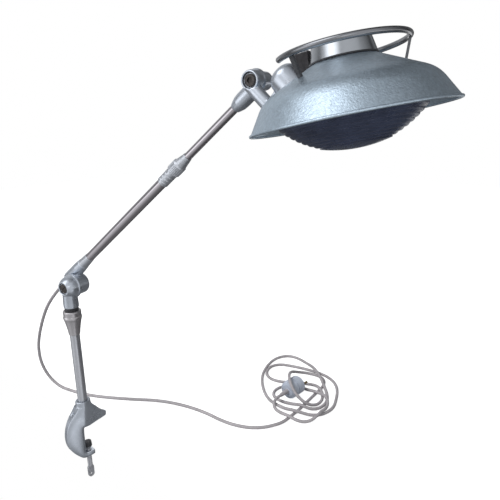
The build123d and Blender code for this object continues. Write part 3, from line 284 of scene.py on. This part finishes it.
def node_material(name):
    material = bpy.data.materials.new(name)
    material.use_nodes = True
    return material


# ---------------------------------------------------------------- finishes
class Finish:
    """A material under construction: one principled shader and the nodes that feed it."""

    GRAIN_ROUGHNESS = 0.55
    # Nearly all of a grain's values lie between these
    GRAIN_LOW, GRAIN_HIGH = 0.3, 0.7
    # How far an edge stands out where its wear begins and is full, and how much lighter it gets
    EDGE_LOW, EDGE_HIGH = 0.51, 0.57
    RUBBED_SHARE = 1.5
    # A Mix node's sockets for its two colours and for its result
    FIRST_COLOUR, SECOND_COLOUR, MIXED_COLOUR = 6, 7, 2

    def __init__(self, name, colour, roughness, metallic=0.0, **sockets):
        self.material = node_material(name)
        self.tree = self.material.node_tree
        self.shader = self.tree.nodes["Principled BSDF"]
        self.colour = tuple(colour)
        self.shader.inputs["Base Color"].default_value = (*colour, 1)
        self.shader.inputs["Roughness"].default_value = roughness
        self.shader.inputs["Metallic"].default_value = metallic
        for socket, value in sockets.items():
            self.shader.inputs[socket.replace("_", " ")].default_value = value
        self.place = self.add("ShaderNodeTexCoord").outputs["Object"]

    def add(self, kind, **inputs):
        return add_node(self.tree, kind, **inputs)

    def brushed_place(self, along, stretch):
        """The object's own coordinates, turned so that grain is drawn out along the brushing."""
        turn = (0, atan2(along.z, along.x), 0)
        turned = self.add("ShaderNodeMapping", Vector=self.place, Rotation=turn)
        drawn = self.add("ShaderNodeMapping", Vector=turned.outputs[0], Scale=(1, stretch, stretch))
        return drawn.outputs[0]

    def grain(self, scale, detail, place=None):
        """Soft uneven spots, as many to the metre as the scale, broken up by the detail."""
        noise = self.add(
            "ShaderNodeTexNoise", Vector=place or self.place, Scale=scale, Detail=detail,
            Roughness=self.GRAIN_ROUGHNESS)
        return noise.outputs["Fac"]

    def spread(self, value, low, high, start=GRAIN_LOW, end=GRAIN_HIGH):
        """A value from start to end becomes one from low to high."""
        spread = self.add(
            "ShaderNodeMapRange", Value=value, From_Min=start, From_Max=end, To_Min=low,
            To_Max=high)
        return spread.outputs["Result"]

    def toned(self, share):
        """The finish's colour, made darker or lighter by a share."""
        return [min(1, channel * share) for channel in self.colour]

    def tint(self, value, dark, light):
        """The colour runs between two shares of itself."""
        stops = ((self.GRAIN_LOW, self.toned(dark)), (self.GRAIN_HIGH, self.toned(light)))
        self.tree.links.new(colour_ramp(self.tree, value, stops), self.shader.inputs["Base Color"])

    def vary_roughness(self, value, low, high):
        """The roughness runs between two values."""
        self.tree.links.new(self.spread(value, low, high), self.shader.inputs["Roughness"])

    def worn_edges(self, amount):
        """Lightens the tint along the edges, where hands have rubbed it."""
        edge = self.add("ShaderNodeNewGeometry").outputs["Pointiness"]
        mask = self.spread(edge, 0.0, amount, self.EDGE_LOW, self.EDGE_HIGH)
        mix = self.add("ShaderNodeMix", settings={"data_type": "RGBA"}, Factor=mask)
        socket = self.shader.inputs["Base Color"]
        self.tree.links.new(socket.links[0].from_socket, mix.inputs[self.FIRST_COLOUR])
        mix.inputs[self.SECOND_COLOUR].default_value = (*self.toned(self.RUBBED_SHARE), 1)
        self.tree.links.new(mix.outputs[self.MIXED_COLOUR], socket)

    def rough_surface(self, height, distance, strength):
        """Raises the surface by up to a distance in metres; several are laid on each other."""
        bump = self.add("ShaderNodeBump", Height=height, Distance=distance, Strength=strength)
        socket = self.shader.inputs["Normal"]
        if socket.links:
            self.tree.links.new(socket.links[0].from_socket, bump.inputs["Normal"])
        self.tree.links.new(bump.outputs["Normal"], socket)


def cast_enamel(name, colour):
    """Satin enamel over a sand casting: a fine orange peel and a slow unevenness below it."""
    made = Finish(name, colour, roughness=0.3, metallic=0.88)
    made.tint(made.grain(28, detail=4), dark=0.9, light=1.08)
    made.vary_roughness(made.grain(90, detail=3), low=0.26, high=0.36)
    made.worn_edges(amount=0.5)
    made.rough_surface(made.grain(70, detail=2), distance=0.0002, strength=0.4)
    made.rough_surface(made.grain(900, detail=2), distance=0.00003, strength=0.5)
    return made.material


def hammered_enamel(name, colour):
    """Hammered enamel: shallow dimples that run into each other, glossy between them."""
    made = Finish(name, colour, roughness=0.36, metallic=0.95)
    made.tint(made.grain(300, detail=3), dark=0.88, light=1.1)
    made.vary_roughness(made.grain(200, detail=3), low=0.32, high=0.44)
    made.rough_surface(made.grain(520, detail=2), distance=0.0006, strength=0.5)
    made.rough_surface(made.grain(60, detail=2), distance=0.0003, strength=0.4)
    return made.material


def brushed_steel(name, colour, along, roughness, metallic):
    """Steel brushed along a direction in the arm's upright plane, with long faint scratches."""
    made = Finish(name, colour, roughness, metallic)
    place = made.brushed_place(along, stretch=40)
    made.tint(made.grain(14, 4, place), dark=0.86, light=1.1)
    made.vary_roughness(made.grain(22, 3, place), low=roughness - 0.05, high=roughness + 0.08)
    made.rough_surface(made.grain(40, 2, place), distance=0.00001, strength=0.5)
    return made.material


def bright_plating(name, colour):
    """Polished nickel with faint cloudiness and hairline marks."""
    made = Finish(name, colour, roughness=0.2, metallic=1.0)
    made.tint(made.grain(35, detail=3), dark=0.93, light=1.04)
    made.vary_roughness(made.grain(120, detail=4), low=0.16, high=0.25)
    made.rough_surface(made.grain(1600, detail=2), distance=0.00001, strength=0.5)
    return made.material


def dull_steel(name, colour):
    """Bare screw steel, dulled and a little pitted."""
    made = Finish(name, colour, roughness=0.42, metallic=0.85)
    made.tint(made.grain(260, detail=5), dark=0.7, light=1.2)
    made.vary_roughness(made.grain(340, detail=4), low=0.34, high=0.58)
    made.rough_surface(made.grain(1100, detail=3), distance=0.00006, strength=0.6)
    return made.material


def satin_plating(name, colour):
    """Plating gone satin with handling, on the collar, its nut and the ferrule."""
    made = Finish(name, colour, roughness=0.34, metallic=0.9)
    made.tint(made.grain(70, detail=4), dark=0.86, light=1.08)
    made.vary_roughness(made.grain(180, detail=4), low=0.28, high=0.44)
    made.rough_surface(made.grain(1200, detail=2), distance=0.00003, strength=0.6)
    return made.material


def blackened_steel_and_recess_shade(name, colour):
    """Oil-blackened steel, browned where the black has gone; on the shoulder bolt its dark is painted shade of the
    bolt's recess.
    """
    made = Finish(name, colour, roughness=0.45, metallic=0.6)
    made.tint(made.grain(260, detail=5), dark=0.6, light=2.2)
    made.vary_roughness(made.grain(340, detail=4), low=0.36, high=0.6)
    made.rough_surface(made.grain(1100, detail=3), distance=0.00006, strength=0.6)
    return made.material


def dull_brass(name, colour):
    """Brass gone dull, with faint stains and pits."""
    made = Finish(name, colour, roughness=0.36, metallic=0.9)
    made.tint(made.grain(180, detail=4), dark=0.7, light=1.15)
    made.vary_roughness(made.grain(240, detail=4), low=0.28, high=0.5)
    made.rough_surface(made.grain(900, detail=3), distance=0.00004, strength=0.6)
    return made.material


def black_rubber(name, colour):
    """Soft black rubber, greyed with dust in places."""
    made = Finish(name, colour, roughness=0.62, Sheen_Weight=0.15)
    made.tint(made.grain(140, detail=4), dark=0.75, light=1.4)
    made.vary_roughness(made.grain(300, detail=3), low=0.52, high=0.75)
    made.rough_surface(made.grain(1300, detail=3), distance=0.00006, strength=0.7)
    return made.material


def cord_sheath(name, colour):
    """Grey-mauve sheath with a fine uneven skin, dusty in places."""
    made = Finish(name, colour, roughness=0.5, Sheen_Weight=0.1)
    made.tint(made.grain(60, detail=4), dark=0.86, light=1.1)
    made.vary_roughness(made.grain(220, detail=3), low=0.42, high=0.62)
    made.rough_surface(made.grain(750, detail=3), distance=0.00012, strength=0.6)
    return made.material


def moulded_plug(name, colour):
    """Blue-grey moulded resin with a soft gloss and fine flow marks."""
    made = Finish(name, colour, roughness=0.35, Coat_Weight=0.2, Coat_Roughness=0.25)
    made.tint(made.grain(90, detail=4), dark=0.84, light=1.12)
    made.vary_roughness(made.grain(260, detail=3), low=0.28, high=0.45)
    made.worn_edges(amount=0.45)
    made.rough_surface(made.grain(620, detail=3), distance=0.00008, strength=0.6)
    return made.material


def bakelite(name, colour):
    """Brown-black bakelite: mottled filler under a dulled gloss."""
    made = Finish(name, colour, roughness=0.5, Specular_IOR_Level=0.3)
    made.tint(made.grain(170, detail=5), dark=0.6, light=1.6)
    made.vary_roughness(made.grain(300, detail=3), low=0.42, high=0.6)
    made.rough_surface(made.grain(480, detail=3), distance=0.00006, strength=0.5)
    return made.material


def slate_glass(name, colour):
    """Thick pressed glass, dark slate blue, with waves and small seeds in it."""
    made = Finish(
        name, colour, roughness=0.3, Transmission_Weight=0.1, IOR=1.45, Specular_IOR_Level=0.22)
    made.tint(made.grain(40, detail=4), dark=0.75, light=1.25)
    made.vary_roughness(made.grain(110, detail=3), low=0.24, high=0.38)
    made.rough_surface(made.grain(130, detail=2), distance=0.0003, strength=0.4)
    return made.material


def opal_glass(name, colour):
    """Milky glass of the bulb, faintly uneven."""
    made = Finish(name, colour, roughness=0.2, Coat_Weight=0.3)
    made.tint(made.grain(50, detail=3), dark=0.96, light=1.03)
    made.vary_roughness(made.grain(90, detail=3), low=0.14, high=0.28)
    made.rough_surface(made.grain(200, detail=2), distance=0.0001, strength=0.3)
    return made.material


def natural_nylon(name, colour):
    """Cream nylon of the tube's guide, slightly see-through and worn dull."""
    made = Finish(name, colour, roughness=0.45, Subsurface_Weight=0.1)
    made.tint(made.grain(120, detail=4), dark=0.9, light=1.06)
    made.vary_roughness(made.grain(300, detail=3), low=0.38, high=0.55)
    made.rough_surface(made.grain(700, detail=3), distance=0.00005, strength=0.5)
    return made.material


def all_finishes(colours):
    """One material for each of the record's slots, and four for the worn or darker nodes."""
    up = Vector((0, 0, 1))
    return {
        "cast_paint": cast_enamel("satin_cast_enamel", colours.casting),
        "cup_paint": cast_enamel("warm_cup_enamel", colours.cup),
        "stem_metal": brushed_steel("stem_steel", colours.stem, up, roughness=0.3, metallic=0.9),
        "arm_metal": brushed_steel(
            "arm_tube_steel", colours.tube, ARM, roughness=0.14, metallic=1.0),
        "bright_metal": bright_plating("bright_plating", colours.plating),
        "screw_steel": dull_steel("screw_steel", (0.44, 0.445, 0.47)),
        "brass": dull_brass("dull_brass", (0.42, 0.30, 0.13)),
        "black_rubber": black_rubber("black_rubber", (0.035, 0.035, 0.04)),
        "cord_rubber": cord_sheath("cord_sheath", colours.cord),
        "shade_paint": hammered_enamel("hammered_shade_enamel", colours.shade),
        "glass": slate_glass("slate_bowl_glass", colours.glass),
        "bulb_glass": opal_glass("opal_bulb_glass", (0.82, 0.82, 0.79)),
        "bakelite": bakelite("mottled_bakelite", (0.024, 0.022, 0.024)),
        "plug_plastic": moulded_plug("moulded_plug_resin", colours.plug),
        "matte_guide": natural_nylon("natural_nylon", (0.55, 0.53, 0.47)),
        "satin": satin_plating("satin_plating", (0.58, 0.60, 0.64)),
        "dark_steel": dull_steel("dark_strut_steel", (0.13, 0.132, 0.14)),
        "handle_steel": bright_plating("handle_tube_steel", (0.27, 0.275, 0.29)),
        "blackened_and_recess_shade": blackened_steel_and_recess_shade("blackened_steel_and_recess_shade", (0.045, 0.04, 0.038)),
    }


FINISHES = {}
# Nodes whose finish is a duller or darker form of their slot's
DULLER_AND_DARKER_NODES = {
    "tube_ferrule": "satin", "collar_sleeve": "satin", "collar_nut": "satin",
    # The shoulder bolt's dark finish is painted shade: the bolt fills its recess and is darkened to stand for the
    # recess's shade.
    "elbow_bolt": "blackened_and_recess_shade", "elbow_nut": "blackened_and_recess_shade", "shoulder_bolt": "blackened_and_recess_shade",
    "handle_struts": "dark_steel", "shoulder_nut": "dark_steel", "handle": "handle_steel",
}


# ---------------------------------------------------------------- pieces
def new_piece(name, mesh):
    piece = bpy.data.objects.new(name, mesh)
    bpy.context.scene.collection.objects.link(piece)
    return piece


def dress(piece, slot, body=None, *stands_for):
    """Gives a new piece the finish of a slot, its body if one is given, and hides the nodes it stands for."""
    piece.data.materials.clear()
    piece.data.materials.append(FINISHES[slot])
    if body:
        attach(piece, body)
    if stands_for:
        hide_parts(*stands_for)


def mesh_of(name, shape):
    """Moves a finished bmesh into a new mesh."""
    mesh = bpy.data.meshes.new(name)
    shape.to_mesh(mesh)
    shape.free()
    return mesh


def shade_smooth(mesh, crease=None):
    """Smooth shading, with creases kept where faces meet at more than an angle in degrees."""
    mesh.polygons.foreach_set("use_smooth", [True] * len(mesh.polygons))
    if crease:
        mesh.set_sharp_from_angle(angle=radians(crease))


def rebuild(piece, voxel):
    """Adds a rebuild of the piece's skin in small even faces, which can then be shaped."""
    remesh = piece.modifiers.new("rebuild", "REMESH")
    remesh.mode = "VOXEL"
    remesh.voxel_size = voxel


def soften(piece, factor, passes):
    """Adds a smoothing of the piece's skin."""
    smooth = piece.modifiers.new("soften", "SMOOTH")
    smooth.factor = factor
    smooth.iterations = passes
    return smooth


def apply_modifiers(piece):
    """Bakes a piece's modifiers into its mesh."""
    ready = piece.evaluated_get(bpy.context.evaluated_depsgraph_get())
    mesh = bpy.data.meshes.new_from_object(ready)
    piece.modifiers.clear()
    old = piece.data
    piece.data = mesh
    bpy.data.meshes.remove(old)


# ---------------------------------------------------------------- operators
class LAMP_OT_finishes(bpy.types.Operator):
    """Makes a finish for every slot and lays it on every carried-over node"""

    bl_idname = "lamp.finishes"
    bl_label = "Finishes"

    def execute(self, context):
        FINISHES.update(all_finishes(context.scene.lamp_colours))
        for name, node in NODES.items():
            finish = FINISHES[DULLER_AND_DARKER_NODES.get(name, SLOT_OF[name])]
            if not node.material_slots:
                node.data.materials.append(finish)
            for slot in node.material_slots:
                slot.material = finish
        return {"FINISHED"}


class LAMP_OT_castings(bpy.types.Operator):
    """Rounds the castings' edges and corners the way sand casting and enamel leave them"""

    bl_idname = "lamp.castings"
    bl_label = "Castings"

    def execute(self, context):
        for name, (body, passes) in CASTINGS.items():
            skin = new_piece(name + "_skin", NODES[name].data.copy())
            rebuild(skin, context.scene.lamp_sizes.casting_voxel)
            soften(skin, factor=0.5, passes=passes)
            apply_modifiers(skin)
            if name == "clamp_body":
                round_across(skin)
            shade_smooth(skin.data)
            dress(skin, SLOT_OF[name], body, name)
        return {"FINISHED"}


def round_across(skin):
    """Rounds the clamp's section across its jaw alone, so its outline, socket and boss stay."""
    jaw_to_y = Matrix.Rotation(pi / 2 - JAW_HEADING, 4, "Z")
    skin.data.transform(jaw_to_y)
    free = skin.vertex_groups.new(name="free")
    for vertex in skin.data.vertices:
        free.add([vertex.index], rounding_share(vertex.co), "REPLACE")
    across = soften(skin, factor=0.8, passes=ROUNDING_PASSES)
    across.use_y = False
    across.use_z = False
    across.vertex_group = free.name
    apply_modifiers(skin)
    skin.vertex_groups.clear()
    skin.data.transform(jaw_to_y.inverted())


def rounding_share(place):
    """How freely a point of the clamp is rounded, from 0 in the socket and the boss to 1."""
    kept = 0
    if place.z > SOCKET_FOOT:
        kept = SOCKET_KEPT
    elif place.z < BOSS_TOP:
        kept = BOSS_KEPT
    return min(1, max(0, (place.xy.length - kept) / ROUNDING_FADE))


class LAMP_OT_screw_thread(bpy.types.Operator):
    """Cuts the thread round the clamp screw's shank, between its tip and its flat thumb piece"""

    bl_idname = "lamp.screw_thread"
    bl_label = "Screw thread"

    def execute(self, context):
        sizes = context.scene.lamp_sizes
        screw = new_piece("clamp_screw_threaded", NODES["clamp_screw"].data.copy())
        rebuild(screw, sizes.thread_pitch / VOXELS_PER_TURN)
        apply_modifiers(screw)
        shank = [
            vertex for vertex in screw.data.vertices
            if vertex.co.xy.length > SCREW_PLAIN_RADIUS and vertex.co.z > SCREW_SHOULDER]
        if not shank:
            raise RuntimeError("the clamp screw has no shank to thread")
        for vertex in shank:
            x, y, z = vertex.co
            turn = (z / sizes.thread_pitch - atan2(y, x) / (2 * pi)) % 1
            depth = sizes.thread_depth * abs(2 * turn - 1)
            vertex.co.xy = vertex.co.xy * (1 - depth / vertex.co.xy.length)
        shade_smooth(screw.data, crease=50)
        dress(screw, SLOT_OF["clamp_screw"], "clamp_screw", "clamp_screw")
        return {"FINISHED"}


class LAMP_OT_cord(bpy.types.Operator):
    """Lays the cord from the arm to the table and in loose loops round its plug"""

    bl_idname = "lamp.cord"
    bl_label = "Cord"

    def execute(self, context):
        radius = context.scene.lamp_sizes.cord_diameter / 2
        line = smooth_line(CORD_RUN + CORD_LOOPS, CORD_STEPS)
        sheath = new_piece("cord_sheath", tube_along(line, radius, CORD_SIDES))
        dress(sheath, "cord_rubber")
        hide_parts("cord_run", "cord_coil")
        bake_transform(sheath)
        return {"FINISHED"}


def smooth_line(points, resolution):
    """The points down the middle of a smooth spline that has these as its control points."""
    curve = bpy.data.curves.new("route", "CURVE")
    curve.dimensions = "3D"
    curve.resolution_u = resolution
    spline = curve.splines.new("NURBS")
    spline.points.add(len(points) - 1)
    for point, place in zip(spline.points, points):
        point.co = (*place, 1)
    spline.use_endpoint_u = True
    spline.order_u = 3
    route = bpy.data.objects.new("route", curve)
    mesh = bpy.data.meshes.new_from_object(route)
    line = [vertex.co.copy() for vertex in mesh.vertices]
    bpy.data.meshes.remove(mesh)
    bpy.data.objects.remove(route)
    bpy.data.curves.remove(curve)
    return line


def tube_along(line, radius, sides):
    """A closed tube round a line, each ring turned as little as can be from the one before."""
    shape = bmesh.new()
    side = (line[1] - line[0]).orthogonal().normalized()
    angles = [2 * pi * k / sides for k in range(sides)]
    rings = []
    for i, place in enumerate(line):
        ahead = (line[min(i + 1, len(line) - 1)] - line[max(i - 1, 0)]).normalized()
        side = (side - ahead * side.dot(ahead)).normalized()
        up = ahead.cross(side)
        ring = [place + (side * cos(a) + up * sin(a)) * radius for a in angles]
        rings.append([shape.verts.new(point) for point in ring])
    for before, after in zip(rings, rings[1:]):
        for k in range(sides):
            n = (k + 1) % sides
            shape.faces.new((before[k], before[n], after[n], after[k]))
    shape.faces.new(rings[0][::-1])
    shape.faces.new(rings[-1])
    mesh = mesh_of("tube", shape)
    shade_smooth(mesh, crease=60)
    return mesh


class LAMP_OT_studio(bpy.types.Operator):
    """Sets up the table, the white surroundings, the lamps and the camera"""

    bl_idname = "lamp.studio"
    bl_label = "Studio"

    def execute(self, context):
        studio = context.scene.lamp_studio
        lay_table()
        light_sky(studio.sky)
        key = studio_lamp("key", LIT_PLACE + KEY_PLACE, KEY_SIZE, studio.key_power)
        key.visible_glossy = False
        studio_lamp("fill", LIT_PLACE + FILL_PLACE, FILL_SIZE, studio.fill_power)
        surround_reflections()
        set_camera(studio.focal_length)
        context.scene.view_settings.view_transform = "Standard"
        return {"FINISHED"}


def seen_directly(tree):
    """1 where the camera, a reflection or a view through glass looks, and 0 for the light."""
    ray = add_node(tree, "ShaderNodeLightPath").outputs
    seen = maths(tree, "MAXIMUM", ray["Is Camera Ray"], ray["Is Glossy Ray"])
    return maths(tree, "MAXIMUM", seen, ray["Is Transmission Ray"])


def table_corners(side, depth, height):
    """The corners of a sheet on the table, from its edge just inside the clamp's throat."""
    across = Vector((JAW.y, -JAW.x, 0))
    corners = [(-side, TABLE_EDGE), (side, TABLE_EDGE), (side, depth), (-side, depth)]
    return [across * a + JAW * b + Vector((0, 0, height)) for a, b in corners]


def lay_table():
    """A pale table top, from just inside the clamp's throat out behind the lamp."""
    shape = bmesh.new()
    corners = table_corners(TABLE_SIDE, TABLE_DEPTH, TABLE_HEIGHT)
    shape.faces.new([shape.verts.new(corner) for corner in corners])
    bmesh.ops.subdivide_edges(shape, edges=shape.edges, cuts=6, use_grid_fill=True)
    table = new_piece("table_top", mesh_of("table_top", shape))
    finish = node_material("pale_table")
    tree = finish.node_tree
    paint = tree.nodes["Principled BSDF"]
    paint.inputs["Base Color"].default_value = TABLE_COLOUR
    paint.inputs["Roughness"].default_value = TABLE_ROUGHNESS
    strength = maths(tree, "MULTIPLY", seen_directly(tree), TABLE_GLOW)
    glow = add_node(tree, "ShaderNodeEmission", Strength=strength)
    both = add_node(tree, "ShaderNodeAddShader", paint.outputs[0], glow.outputs[0])
    tree.links.new(both.outputs[0], tree.nodes["Material Output"].inputs["Surface"])
    table.data.materials.append(finish)


def light_sky(strength):
    """A soft even sky for the light, which shows as plain white wherever it is seen."""
    world = bpy.data.worlds.new("studio")
    bpy.context.scene.world = world
    world.use_nodes = True
    tree = world.node_tree
    sky = tree.nodes["Background"]
    sky.inputs["Color"].default_value = SKY_COLOUR
    sky.inputs["Strength"].default_value = strength
    white = add_node(tree, "ShaderNodeBackground", Color=WHITE, Strength=1.0)
    mix = add_node(
        tree, "ShaderNodeMixShader", seen_directly(tree), sky.outputs[0], white.outputs[0])
    tree.links.new(mix.outputs[0], tree.nodes["World Output"].inputs["Surface"])


def studio_lamp(name, place, size, power):
    """A round soft lamp, turned to the desk lamp."""
    light = bpy.data.lights.new(name, "AREA")
    light.shape = "DISK"
    light.size = size
    light.energy = power
    made = bpy.data.objects.new(name, light)
    facing = (LIT_PLACE - place).to_track_quat("-Z", "Y").to_matrix().to_4x4()
    made.matrix_world = Matrix.Translation(place) @ facing
    bpy.context.scene.collection.objects.link(made)
    return made


def surround_reflections():
    """A tent and a table sheet that only reflections see: light on the left, dark on the right."""
    tent = bmesh.new()
    bmesh.ops.create_icosphere(tent, subdivisions=4, radius=TENT_RADIUS)
    reflected_surface("reflection_tent", tent, LIT_PLACE, TENT_TONES, WINDOWS)
    below = Vector((LIT_PLACE.x, LIT_PLACE.y, SHEET_HEIGHT))
    corners = table_corners(SHEET_SIDE, SHEET_SIDE, SHEET_HEIGHT)
    sheet = bmesh.new()
    sheet.faces.new([sheet.verts.new(corner - below) for corner in corners])
    reflected_surface("reflection_sheet", sheet, below, SHEET_TONES)


def reflected_surface(name, shape, place, tones, windows=()):
    """A glowing surface round a place, which is seen in gloss alone."""
    surface = new_piece(name, mesh_of(name, shape))
    surface.location = place
    surface.data.materials.append(reflected_glow(name, tones, windows))
    for sight in ("visible_camera", "visible_diffuse", "visible_shadow", "visible_transmission"):
        setattr(surface, sight, False)


def reflected_glow(name, tones, windows):
    """A glow whose tone goes by which way it lies: its direction, its height and the windows."""
    finish = node_material(name)
    tree = finish.node_tree
    tree.nodes.remove(tree.nodes["Principled BSDF"])
    place = add_node(tree, "ShaderNodeTexCoord").outputs["Object"]
    level = add_node(tree, "ShaderNodeSeparateXYZ", place).outputs
    heading = maths(tree, "ARCTAN2", level["Y"], level["X"])
    around = add_node(tree, "ShaderNodeMapRange", heading, From_Min=-pi, From_Max=pi).outputs[0]
    by_compass = [(degrees / 360 + 0.5, [tone * c for c in GLOW_TINT]) for degrees, tone in tones]
    colour = colour_ramp(tree, around, by_compass, "EASE")
    unit = add_node(tree, "ShaderNodeVectorMath", place, settings={"operation": "NORMALIZE"})
    way = unit.outputs[0]
    rise = add_node(tree, "ShaderNodeSeparateXYZ", way).outputs["Z"]
    upward = add_node(tree, "ShaderNodeMapRange", rise, From_Min=-1).outputs[0]
    by_height = [((height + 1) / 2, [share] * 3) for height, share in HEIGHT_TONES]
    height_share = colour_ramp(tree, upward, by_height)
    strength = maths(tree, "MULTIPLY", window_light(tree, way, windows), height_share)
    glow = add_node(tree, "ShaderNodeEmission", Color=colour, Strength=strength)
    tree.links.new(glow.outputs[0], tree.nodes["Material Output"].inputs["Surface"])
    return finish


def window_light(tree, way, windows):
    """A strength of 1, and more towards each window."""
    light = 1.0
    for direction, start, full, extra in windows:
        towards = add_node(
            tree, "ShaderNodeVectorMath", way, tuple(direction.normalized()),
            settings={"operation": "DOT_PRODUCT"})
        fade = add_node(
            tree, "ShaderNodeMapRange", towards.outputs["Value"], From_Min=start, From_Max=full,
            To_Max=extra, settings={"interpolation_type": "SMOOTHSTEP"})
        light = maths(tree, "ADD", light, fade.outputs[0])
    return light


def set_camera(focal_length):
    eye = bpy.data.cameras.new("eye")
    eye.lens = focal_length
    eye.sensor_width = SENSOR_WIDTH
    eye.shift_x, eye.shift_y = CAMERA_SHIFT
    eye.clip_start = 0.02
    camera = bpy.data.objects.new("eye", eye)
    turn = Matrix.Rotation(radians(CAMERA_TURN), 4, "Z")
    dip = Matrix.Rotation(radians(90 - CAMERA_DIP), 4, "X")
    roll = Matrix.Rotation(radians(CAMERA_ROLL), 4, "Z")
    camera.matrix_world = Matrix.Translation(CAMERA_PLACE) @ turn @ dip @ roll
    bpy.context.scene.collection.objects.link(camera)
    bpy.context.scene.camera = camera


class LAMP_PT_sidebar(bpy.types.Panel):
    """Lists the lamp's steps and settings in the 3D view's sidebar"""

    bl_idname = "LAMP_PT_sidebar"
    bl_label = "Desk Lamp"
    bl_space_type = "VIEW_3D"
    bl_region_type = "UI"
    bl_category = "Desk Lamp"

    def draw(self, context):
        layout = self.layout
        for step in STEPS:
            layout.operator(step.bl_idname)
        scene = context.scene
        for settings in (scene.lamp_colours, scene.lamp_sizes, scene.lamp_studio):
            box = layout.box()
            for setting in settings.__annotations__:
                box.prop(settings, setting)


STEPS = (LAMP_OT_finishes, LAMP_OT_castings, LAMP_OT_screw_thread, LAMP_OT_cord, LAMP_OT_studio)
CLASSES = (LampColours, LampSizes, StudioSettings, *STEPS, LAMP_PT_sidebar)


def register():
    for cls in CLASSES:
        bpy.utils.register_class(cls)
    bpy.types.Scene.lamp_colours = PointerProperty(type=LampColours)
    bpy.types.Scene.lamp_sizes = PointerProperty(type=LampSizes)
    bpy.types.Scene.lamp_studio = PointerProperty(type=StudioSettings)


def unregister():
    del bpy.types.Scene.lamp_studio
    del bpy.types.Scene.lamp_sizes
    del bpy.types.Scene.lamp_colours
    for cls in reversed(CLASSES):
        bpy.utils.unregister_class(cls)


def main():
    register()
    bpy.ops.lamp.finishes()
    bpy.ops.lamp.castings()
    bpy.ops.lamp.screw_thread()
    bpy.ops.lamp.cord()
    bpy.ops.lamp.studio()


if __name__ == "__main__":
    main()
